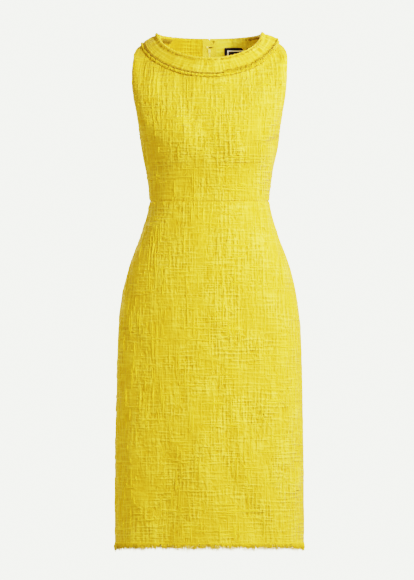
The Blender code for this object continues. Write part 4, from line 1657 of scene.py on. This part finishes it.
@dataclass
class NeckBand:
    """The band round the neck, with its rolled neck edge and two frayed edges."""

    edge: FrayedEdge
    yarn: Material
    # deep is the dark yarn that paints shade along the band's edges.
    deep: Material
    rows: int = 26
    edge_rise: float = 0.0040
    middle_rise: float = 0.0034
    flatness: float = 0.62    # share of its rise that the band loses at the left shoulder seam
    # Shares of the band's width: the middle and the width of the roll and of the crease
    # beside it, and how much of each edge is rounded off.
    roll_radius: float = 0.0012
    roll_share: tuple[float, float] = (0.90, 0.085)
    crease_depth: float = 0.0012
    crease_share: tuple[float, float] = (0.70, 0.05)
    outer_round: float = 0.10
    inner_round: float = 0.07
    inner_start: float = 0.93
    lift: float = 0.0004      # of its thinnest edge above the bodice
    under: float = 0.0003
    outer_cord: PliedEdge = PliedEdge(0.0028, pitch=0.0165, lump=0.60, swell=0.30)
    inner_cord: PliedEdge = PliedEdge(0.0026, pitch=0.0155, lump=0.50, swell=0.28)
    shadow_cord: PliedEdge = PliedEdge(0.0014, pitch=0.008, lump=0.30, swell=0.30)
    # In a metre, length, radius, rise, curl, sway, tufts in a metre and depth.
    outer_ends: LooseEnds = LooseEnds(2000, 0.0058, 0.00045, 0.0012, -0.0012, 0.0050, 190.0, 0.0008)
    inner_ends: LooseEnds = LooseEnds(2200, 0.0072, 0.00045, 0.0016, -0.0020, 0.0060, 190.0, 0.0008)
    inner_roots: LooseEnds = LooseEnds(700, 0.0062, 0.0008, 0.0012, -0.0006, 0.0050, 150.0)
    tufts: LooseEnds = LooseEnds(1100, 0.0105, 0.0006, 0.0030, 0.0010, 0.0060, 150.0)
    tuft_shade: LooseEnds = LooseEnds(800, 0.0105, 0.0006, 0.0024, 0.0010, 0.0060, 150.0)

    def profile(self, share: Array, shoulder: Array) -> Array:
        """Returns the height of the band's face above the bodice.

        Args:
            share: how far across the band, from its outer edge (0) to the neck edge (1).
            shoulder: how flat the band lies in each column.

        Returns:
            Heights in metres, in rows (share) and columns (shoulder).
        """
        share = share[:, None]
        body = self.edge_rise + (self.middle_rise - self.edge_rise) * np.sin(np.pi * share)
        body = body * (1.0 - self.flatness * shoulder)
        roll = self.roll_radius * hill(share, *self.roll_share)
        crease = self.crease_depth * hill(share, *self.crease_share) * (1.0 - 0.5 * shoulder)
        outer = 1.0 - share / self.outer_round
        inner = (share - self.inner_start) / self.inner_round
        outer, inner = (np.sqrt(1.0 - np.clip(part, 0.0, 1.0) ** 2) for part in (outer, inner))
        return (body * outer + roll - crease) * inner + self.lift

    def shoulder(self, panel: Panel) -> Array:
        """Returns how flat the band lies in each column: 1 at the left shoulder seam, where it
        lies flat, and less than 0 at the right one, where it stands full.
        """
        near = smooth_step(0.78, 0.96, np.abs(panel.across))
        return near * np.where(panel.across < 0.0, 1.0, -0.75)

    def places(self, panel: Panel) -> tuple[Array, Array, Array, Array]:
        """Finds the stretch of the bodice that the band lies on.

        Args:
            panel: the bodice panel.

        Returns:
            Points, directions, places on the flat band, and each row's share across the band.
        """
        spacing = 0.5 - 0.5 * np.cos(np.pi * np.linspace(0.0, 1.0, self.rows))
        share = 0.35 * spacing + 0.65 * np.linspace(0.0, 1.0, self.rows)
        levels = BAND_EDGE + share * (NECK - BAND_EDGE)
        base, turns = self.face(panel, levels)
        along = arc_lengths(base, 1)
        nearest = int(np.argmin(np.abs(panel.across)))
        width = arc_lengths(base, 0)
        middle = along[self.rows // 2]
        uv = np.stack((np.broadcast_to(middle - middle[nearest], width.shape), width), axis=-1)
        return base, turns, uv, share

    def face(self, panel: Panel, levels: Array) -> tuple[Array, Array]:
        """Finds the bodice's face, folds included.

        Args:
            panel: the bodice panel.
            levels: fractional numbers of sections.

        Returns:
            Its points and its directions out.
        """
        points = panel.shape.points(panel.across, levels)
        turns = panel.shape.outward(panel.across, levels, points)
        lift = panel.shape.relief(points[..., 0], points[..., 2])
        return points + turns * lift[..., None], turns

    def make(self, panel: Panel, material: Material) -> None:
        """Makes one stretch of the band on its bodice panel.

        Args:
            panel: the bodice panel.
            material: the band's material.
        """
        base, turns, uv, share = self.places(panel)
        lumps = self.unevenness(uv, len(panel.suffix))
        rise = self.profile(share, self.shoulder(panel)) * (1.0 + 0.10 * lumps) + 0.00012 * lumps
        upper = base + turns * rise[..., None]
        lower = base + turns * self.under
        name = f"neck_band_{panel.suffix}"
        mesh = shell_mesh(name + "_cloth", upper, lower, uv, turns)
        piece = link_piece(name + "_cloth", mesh, material, Slot.BAND)
        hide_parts(name)
        flat = np.ptp(uv, axis=(0, 1))
        log.info("%s: %d faces", name, len(mesh.polygons))

    def unevenness(self, uv: Array, seed: int) -> Array:
        """Makes a soft uneven wave along the band.

        Args:
            uv: places on the flat band.
            seed: varies it.

        Returns:
            Values between about -1 and 1.
        """
        chance = np.random.default_rng(seed)
        total = np.zeros(uv.shape[:2])
        for _ in range(14):
            wave = chance.uniform(0.004, 0.016)
            total += np.cos(2.0 * math.pi * (uv[..., 0] / wave + uv[..., 1] / 0.02 * chance.normal())
                            + chance.uniform(0.0, 6.28))
        return total / 5.0

    def fray(self, panel: Panel) -> None:
        """Finishes the outer edge and the neck edge.

        Args:
            panel: the bodice panel.
        """
        calm = smooth_step(0.10, 0.65, panel.across)
        seed = 3 * len(panel.suffix)
        self.fray_outer(panel, calm, seed)
        self.fray_inner(panel, calm, seed)

    def fray_outer(self, panel: Panel, calm: Array, seed: int) -> None:
        """Finishes the outer edge, with longer ends turned back on the band's right half.

        Args:
            panel: the bodice panel.
            calm: how much finer the edge is in each column, from 0 to 1 at the right.
            seed: varies the yarns.
        """
        shoulder = self.shoulder(panel)
        size = 1.0 - 0.45 * np.maximum(shoulder, 0.0) - 0.2 * calm
        (low, base, high), turns = self.face(panel, BAND_EDGE - np.array([0.40, 0.24, 0.0]))
        out, away = turns[1], unit(low - high)
        on_band = 0.0042 * (1.0 - self.flatness * shoulder[:, None])
        # The under and upper cords are dark yarn as painted shadow: a dark line below the light cord and
        # one in the crease beside the band.
        for side, place, lift, less in (("under", 0.0029, 0.0008, 0.6),
                                        ("upper", -0.0034, on_band, 0.9)):
            rail = Rail(base + away * place + out * lift, out, away, size * (1.0 - less * calm))
            self.shadow_cord.make(f"band_cord_{side}_{panel.suffix}", rail, self.deep, seed + 3)
        rail = Rail(base + out * (0.0019 * size)[:, None], out, away, size)
        self.outer_cord.make(f"band_cord_outer_{panel.suffix}", rail, self.yarn, seed)
        name = f"band_fringe_outer_{panel.suffix}"
        rail = Rail(base + out * 0.0026 - away * 0.0012, out, away)
        self.edge.fray(name + "_yarns", rail, self.yarn, self.outer_ends, seed, name)
        right = panel.across > 0.12
        if right.any():
            rail = Rail((base + out * 0.0036)[right], out[right], -away[right])
            # The shade ends are dark yarn among the light tufts, as painted shade.
            for label, yarn, ends in (("tufts", self.yarn, self.tufts),
                                      ("shade", self.deep, self.tuft_shade)):
                self.edge.fray(f"{name}_{label}", rail, yarn, ends, seed + ends.density)

    def fray_inner(self, panel: Panel, calm: Array, seed: int) -> None:
        """Finishes the neck edge, a little lower and thinner at the back.

        Args:
            panel: the bodice panel.
            calm: how much finer the edge is in each column, from 0 to 1 at the right.
            seed: varies the yarns.
        """
        shoulder = self.shoulder(panel)
        back = panel.shape.facing is Facing.BACK
        (low, base, high), turns = self.face(panel, NECK - np.array([0.30, 0.10, 0.0]))
        out, rising = turns[1], unit(high - low)
        lift = (0.0022 - 0.0016 * np.maximum(shoulder, 0.0) - 0.0006 * calm)[:, None]
        rail = Rail(base + out * lift * (0.6 if back else 1.0)
                    + rising * (0.0016 * shoulder - 0.0016 * back)[:, None], out, rising,
                    (0.85 if back else 1.0) - 0.30 * calm)
        self.inner_cord.make(f"band_cord_inner_{panel.suffix}", rail, self.yarn, seed + 7)
        if back:
            self.shade(panel)
        name = f"band_fringe_inner_{panel.suffix}"
        rail = Rail(base + out * 0.0030, unit(out + rising * 0.5), unit(out * 0.5 - rising))
        self.edge.fray(name + "_yarns", rail, self.yarn, self.inner_ends, seed + 1, name)
        # The roots are dark yarn under the neck edge's ends, as painted shade.
        rail = Rail(base + out * 0.0040 - rising * 0.0012, out, -rising)
        self.edge.fray(name + "_roots", rail, self.deep, self.inner_roots, seed + 2)

    def shade(self, panel: Panel) -> None:
        """Adds dark brown yarn ends inside the back neck, by the shoulders and the slot, as painted
        shade.

        Args:
            panel: the bodice panel.
        """
        right = panel.end > 0.0
        drop = 0.14 if right else 0.30
        levels = np.array([NECK - drop - 0.16, NECK - drop, NECK])
        (low, base, high), turns = self.face(panel, levels)
        points, falling = base - turns[1] * (CLOTH + 0.0007), unit(low - high)
        side = np.abs(panel.across)
        for number, (start, end, density, length) in enumerate(RIGHT_SHADE if right else LEFT_SHADE):
            near = (side >= start) & (side <= end)
            rail = Rail(points[near], -turns[1][near], falling[near])
            ends = LooseEnds(density, length, 0.0006, 0.0006, 0.0004, 0.0030, 120.0)
            self.edge.fray(f"band_shade_{panel.suffix}_{number}", rail, self.deep, ends, 40 + number)


@dataclass
class Hem:
    """The frayed hem of the skirt: its last thick yarn and the loose ends below it."""

    edge: FrayedEdge
    yarn: Material
    # deep is the dark yarn that paints shade behind the hem's ends.
    deep: Material
    last_yarn: PliedEdge = PliedEdge(0.0016, pitch=0.009, lump=0.3)
    ends: LooseEnds = LooseEnds(1900, 0.0185, 0.00062, 0.0012, 0.0010, 0.0130, 105.0)
    # The roots are short dark ends behind the light ones, as painted shade between the tufts.
    roots: LooseEnds = LooseEnds(950, 0.0185 * 0.86, 0.0006, 0.0, -0.0010, 0.0040, 90.0, 0.0010)

    def fray(self, panel: Panel) -> None:
        """Frays the hem of one skirt panel.

        Args:
            panel: the skirt panel.
        """
        points, turns = panel.points[-1], panel.turns[-1]
        down = np.broadcast_to(np.array((0.0, 0.0, -1.0)), points.shape)
        middle = points - turns * CLOTH * 0.5
        seed = len(panel.suffix)
        self.last_yarn.make(f"hem_yarn_{panel.suffix}", Rail(middle + down * 0.0012, turns, down),
                            self.yarn, 17 + seed)
        count = self.ends.count(Rail(points, turns, down))
        name = f"hem_fringe_{panel.suffix}"
        self.edge.fray(name + "_yarns", Rail(middle, turns, down), self.yarn, self.ends, 5 + seed,
                       name, count)
        self.edge.fray(name + "_roots", Rail(middle - turns * 0.0014, turns, down), self.deep,
                       self.roots, 9 + seed, count=count // 2)


@dataclass
class RunningStitch:
    """Short thread stitches along a line."""

    tree: NodeTree = field(init=False)

    def __post_init__(self) -> None:
        """Builds the Geometry Nodes tree."""
        self.tree = geometry_tree("running_stitch", {
            "Spacing": 0.003, "Length": 0.0021, "Width": 0.0005, "Seed": 1, "Thread": None},
            "Thread", self.draw)

    def draw(self, pen: Pen) -> Value:
        """Draws the stitches, each a small rounded bar along the line.

        Args:
            pen: the tree being drawn.

        Returns:
            The stitches as meshes.
        """
        line = pen.geo("MeshToCurve", {"Mesh": pen.given("Geometry")})
        spots = pen.add("GeometryNodeCurveToPoints", {
            "Curve": line, "Length": pen.given("Spacing")}, mode="LENGTH")
        turned = pen.out("FunctionNodeAlignRotationToVector", {
            "Vector": spots.outputs["Tangent"]}, axis="X")
        tube = pen.geo("MeshUVSphere", {"Segments": 6, "Rings": 5, "Radius": 0.5})
        width = pen.given("Width")
        long = pen.given("Length") * pen.random(0.85, 1.1, pen.given("Seed"))
        return pen.geo("InstanceOnPoints", {
            "Points": spots.outputs["Points"], "Instance": tube, "Rotation": turned,
            "Scale": pen.join(long, width, width)})

    def sew(self, name: str, line: Array, thread: Material, slot: Slot,
            **sizes: float) -> None:
        """Sews along a line of points, as one piece.

        Args:
            name: name of the piece.
            line: the points that the stitches follow.
            thread: the thread's material.
            slot: the record's slot of the piece.
            sizes: values for the tree's inputs.
        """
        settings = {key.title(): value for key, value in sizes.items()} | {"Thread": thread}
        stitches = run_tree(name, line_mesh(name + "_line", line), self.tree, settings)
        link_piece(name, stitches, None, slot)


ZIP_SIDES = {"left": -1.0, "right": 1.0}


@dataclass
class BackZip:
    """The zip of the centre back: two tapes sewn under the cloth's edges, and the coil."""

    top: float = 0.0097
    bottom: float = -0.5228
    tape_reach: float = 0.0140
    tape_inner: float = 0.0016
    apart_z: tuple[float, float] = (-0.0178, -0.0094)
    tape_depth: float = CLOTH + 0.0004
    tape_thickness: float = 0.0008
    coil_top: float = -0.0182
    tooth_pitch: float = 0.00135
    tooth_length: float = 0.0043
    tooth_radius: float = 0.00056

    def under_cloth(self, x: Array, z: Array, depth: float) -> tuple[Array, Array]:
        """Finds points under the back's cloth.

        Args:
            x: sideways places in metres, all on one side.
            z: their heights.
            depth: how far under the outer face.

        Returns:
            The points and the directions out.
        """
        waist = SKIRT[0][3] * MM
        clear = np.maximum(np.abs(x), slot_half(z) + 0.0004) * np.where(x < 0.0, -1.0, 1.0)
        points, turns = np.zeros((len(x), 3)), np.zeros((len(x), 3))
        for skirt, part in ((False, z >= waist), (True, z < waist)):
            if part.any():
                points[part], turns[part] = Shape(Facing.BACK, skirt).at_places(clear[part], z[part])
        turns[:, 0] = 0.0
        turns = unit(turns)
        points[:, 0] = x
        points[:, 2] = z
        return points - turns * depth, turns

    def tape(self, suffix: str, material: Material) -> None:
        """Makes one tape with its twill along it.

        Args:
            suffix: left or right.
            material: the tape's material.
        """
        low, high = self.apart_z
        rows = np.concatenate((np.linspace(self.top, high + 0.001, 7), np.linspace(high, low, 5),
                               np.linspace(low - 0.001, self.bottom, 56)))
        apart = (rows > low - 1e-6) & (rows < high + 1e-6)
        inner = np.where(apart, self.tape_inner, 0.0)
        share = np.linspace(0.0, 1.0, 6)
        reach = inner[:, None] + (self.tape_reach - inner)[:, None] * share
        x, z = ZIP_SIDES[suffix] * reach.ravel(), np.repeat(rows, len(share))
        points, turns = self.under_cloth(x, z, self.tape_depth)
        shown = (len(rows), len(share))
        upper, turns = points.reshape(*shown, 3), turns.reshape(*shown, 3)
        uv = np.stack((np.abs(x), z), axis=-1).reshape(*shown, 2)
        name = f"zip_tape_{suffix}_twill"
        mesh = shell_mesh(name, upper, upper - turns * self.tape_thickness, uv, turns)
        piece = link_piece(name, mesh, material, Slot.TAPE)
        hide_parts(f"zip_tape_{suffix}")

    def draw_teeth(self, pen: Pen) -> Value:
        """Draws coil teeth along a line, each a rounded bar across it.

        Args:
            pen: the tree being drawn.

        Returns:
            The teeth as meshes.
        """
        line = pen.geo("MeshToCurve", {"Mesh": pen.given("Geometry")})
        spots = pen.geo("CurveToPoints", {
            "Curve": line, "Length": pen.given("Pitch")}, mode="LENGTH")
        odd = pen.math("MODULO", pen.geo("InputIndex"), 2.0) - 0.5
        shifted = pen.geo("SetPosition", {
            "Geometry": spots, "Offset": pen.join(odd * pen.given("Offset") * 2.0)})
        bar = pen.geo("MeshUVSphere", {"Segments": 6, "Rings": 6, "Radius": 1.0})
        x, y, z = pen.split(pen.geo("InputPosition"))
        blunt = pen.math("SIGN", x) * (pen.math("ABSOLUTE", x) ** 0.4)
        bar = pen.geo("SetPosition", {"Geometry": bar, "Position": pen.join(blunt, y, z)})
        radius = pen.given("Tooth Radius")
        return pen.geo("InstanceOnPoints", {
            "Points": shifted, "Instance": bar,
            "Scale": pen.join(pen.given("Tooth Length") * 0.5, radius * 1.5, radius)})

    def coil(self, material: Material) -> None:
        """Makes the closed coil between the tapes.

        Args:
            material: the coil's material.
        """
        z = np.linspace(self.coil_top, self.bottom + 0.002, 120)
        line, _ = self.under_cloth(np.full_like(z, 1e-6), z,
                                   self.tape_depth + self.tape_thickness * 0.5)
        line[:, 0] = 0.0
        tree = geometry_tree("zip_coil", {
            "Pitch": self.tooth_pitch, "Tooth Length": self.tooth_length,
            "Tooth Radius": self.tooth_radius, "Offset": 0.0003, "Finish": None}, "Finish",
            self.draw_teeth)
        name = "zip_coil_teeth"
        link_piece(name, run_tree(name, line_mesh("zip_coil_line", line), tree,
                                  {"Finish": material}), None, Slot.ZIP)

    def sew(self, stitch: RunningStitch, thread: Material) -> None:
        """Sews both tapes to the cloth, in a line that shows on the inside.

        Args:
            stitch: makes the stitches.
            thread: their material.
        """
        z = np.linspace(self.top - 0.002, self.bottom + 0.003, 150)
        for suffix, side in ZIP_SIDES.items():
            line, _ = self.under_cloth(np.full_like(z, side * 0.0085), z,
                                       self.tape_depth + self.tape_thickness + 0.0001)
            stitch.sew(f"zip_tape_{suffix}_stitches", line, thread, Slot.TAPE, spacing=0.0029,
                       length=0.0021, width=0.00045, seed=3)


@dataclass
class NeckLabel:
    """The woven label inside the back neck, stitched on along its edges. It has no text."""

    low: tuple[float, float] = (0.0310, -0.0340)
    high: tuple[float, float] = (0.0860, -0.0060)
    depth: float = CLOTH + 0.0005
    thickness: float = 0.0007
    bow: float = 0.0005

    def make(self, shape: Shape, cloth: str, stitch: RunningStitch,
             thread: Material) -> None:
        """Makes the label and its stitches.

        Args:
            shape: the form of the back bodice.
            cloth: not used.
            stitch: makes the stitches.
            thread: their material.
        """
        columns, rows = np.linspace(0.0, 1.0, 26), np.linspace(0.0, 1.0, 14)
        across, up = (values.ravel() for values in np.meshgrid(columns, rows))
        x = self.low[0] + (self.high[0] - self.low[0]) * across
        z = self.low[1] + (self.high[1] - self.low[1]) * up
        points, turns = shape.at_places(x, z)
        loose = self.bow * np.sin(math.pi * across) * np.sin(math.pi * up)
        loose += 0.00012 * np.sin(40.0 * across) * np.sin(math.pi * up)
        shown = (len(rows), len(columns))
        near = (points - turns * (self.depth + loose)[:, None]).reshape(*shown, 3)
        turns = turns.reshape(*shown, 3)
        u, v = arc_lengths(near, 1), arc_lengths(near, 0)
        size = (float(u[0, -1]), float(v[-1, 0]))
        uv = np.stack((u * size[0] / u[:, -1:], v * size[1] / v[-1:]), axis=-1)
        satin = WovenLabel("label_satin", (0.010, 0.014, 0.035), (0.94, 0.98, 1.0), size).make()
        mesh = shell_mesh("label_woven", near, near - turns * self.thickness, uv, turns)
        piece = link_piece("label_woven", mesh, satin, Slot.LABEL)
        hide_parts("label")
        edge = near - turns * (self.thickness + 0.0001)
        inset = edge[1:-1, 1:-1]
        around = np.concatenate((inset[0], inset[1:, -1], inset[-1, -2::-1], inset[-2::-1, 0]))
        stitch.sew("label_stitches", around, thread, Slot.LABEL, spacing=0.0026, length=0.0019,
                   width=0.00042, seed=4)
        log.info("label: %.1f by %.1f mm", size[0] / MM, size[1] / MM)


@dataclass(frozen=True)
class Lamp:
    """A soft square lamp that aims at the dress's middle line."""

    name: str
    place: tuple[float, float, float]
    aim_height: float
    size: float
    power: float
    spread: float = 180.0     # of its beam, in degrees
    colour: Colour = (1.0, 1.0, 1.0)


LAMPS = (
    Lamp("key", (1.68, -2.10, 0.55), -0.28, 0.5, 47.5, 130.0, (1.0, 1.0, 1.17)),    # front right
    Lamp("rim", (2.0, -0.35, 0.55), -0.45, 0.8, 28.0, colour=(1.0, 1.0, 1.12)),     # right side
    Lamp("fill", (-1.6, -0.75, -0.85), -0.80, 0.5, 8.5, colour=(1.0, 0.97, 0.62)),  # lower left
    Lamp("back", (-0.9, 2.4, 0.7), -0.5, 1.2, 44.0),
)


@dataclass
class Studio:
    """Camera, lights and a plain pale floor."""

    distance: float = 30.0
    centre: tuple[float, float] = (-0.005, -0.497)
    view_height: float = 1.1716
    backdrop: Colour = (2.01, 2.12, 1.79)
    ambient: Colour = (0.40, 0.385, 0.29)
    sensor: float = 36.0
    floor_half: float = 8.0
    floor_z: float = -1.12

    def camera(self) -> None:
        """Makes the camera, level and straight in front, with the long side upright."""
        lens = bpy.data.cameras.new("camera")
        lens.sensor_width = self.sensor
        lens.lens = self.sensor * self.distance / self.view_height
        lens.clip_end = 2.0 * self.distance
        holder = place_object("camera", lens)
        holder.location = (self.centre[0], -self.distance, self.centre[1])
        holder.rotation_euler = (math.radians(90.0), 0.0, 0.0)
        bpy.context.scene.camera = holder

    def pale_tone(self, pen: Pen) -> Value:
        """Draws the tone of the surroundings: the backdrop where seen, and the ambient light."""
        seen = Value(pen, pen.add("ShaderNodeLightPath").outputs["Is Camera Ray"])
        return pen.blend(seen, self.ambient, self.backdrop)

    def room(self) -> None:
        """Makes the pale surroundings: even soft light from all round, and the floor."""
        world = bpy.data.worlds.new("studio")
        world.use_nodes = True
        pen = Pen(world.node_tree)
        ground = world.node_tree.nodes["Background"]
        pen.feed(ground.inputs["Color"], self.pale_tone(pen))
        bpy.context.scene.world = world
        material, pen, shader = blank("pale_floor")
        set_inputs(shader, {"Base Color": (0.0, 0.0, 0.0, 1.0), "Roughness": 1.0,
                            "Specular IOR Level": 0.0, "Emission Strength": 1.0})
        pen.feed(shader.inputs["Emission Color"], self.pale_tone(pen))
        half = self.floor_half
        corners = np.array([(x, y, self.floor_z) for x, y in (
            (-half, -half), (half, -half), (half, half), (-half, half))])
        mesh = make_mesh("floor", corners, [(0, 1, 2, 3)])
        mesh.materials.append(material)
        floor = place_object("floor", mesh)

    def lights(self) -> None:
        """Makes the lamps."""
        for lamp in LAMPS:
            light = bpy.data.lights.new(lamp.name, "AREA")
            light.shape = "SQUARE"
            light.size = lamp.size
            light.energy = lamp.power
            light.spread = math.radians(lamp.spread)
            light.color = lamp.colour
            aim = Vector((0.0, 0.0, lamp.aim_height)) - Vector(lamp.place)
            place_object(lamp.name, light).matrix_world = (
                Matrix.Translation(lamp.place)
                @ aim.to_track_quat("-Z", "Y").to_matrix().to_4x4())


def main() -> None:
    """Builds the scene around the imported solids."""
    logging.basicConfig(level=logging.INFO, format="%(name)s: %(message)s")
    bpy.context.scene.view_settings.view_transform = "Filmic"
    bpy.context.scene.view_settings.look = "Very High Contrast"
    studio = Studio()
    studio.camera()
    studio.room()
    studio.lights()
    dress = Dress()
    dress.cut()
    # The deep yarn is dark brown as painted shade along the frayed edges.
    slub, fray, deep = SLUB.make(), FRAY.make(), PAINTED_SHADE_YARN.make()
    inside = {side: finish.make() for side, finish in PAINTED_LIGHT_INSIDE_TWEED.items()}
    dress.sew(TWEED.make(), inside, slub)
    edge, band_tweed = FrayedEdge(), BAND_TWEED.make()
    band, hem = NeckBand(edge, fray, deep), Hem(edge, fray, deep)
    for suffix in ("front", "back_left", "back_right"):
        bodice = dress.panels[f"bodice_{suffix}"]
        band.make(bodice, band_tweed)
        band.fray(bodice)
        hem.fray(dress.panels[f"skirt_{suffix}"])
    log.info("neck band and hem done")
    stitch, closure, tape = RunningStitch(), BackZip(), TAPE.make()
    for suffix in ZIP_SIDES:
        closure.tape(suffix, tape)
    closure.coil(TEETH.make())
    closure.sew(stitch, THREAD.make())
    NeckLabel().make(Shape(Facing.BACK, False), "bodice_back_right_cloth", stitch,
                     LABEL_THREAD.make())
    enamel, lacquer = ZIP_PAINT.make(), HOOK_LACQUER.make()
    for name, material in (("zip_slider", enamel), ("zip_pull_tab", enamel),
                           ("neck_hook", lacquer), ("neck_eye", enamel)):
        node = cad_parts[name]
        node.data.materials.clear()
        node.data.materials.append(material)
    log.info("zip, hook and eye, and label done")


if __name__ == "__main__":
    main()
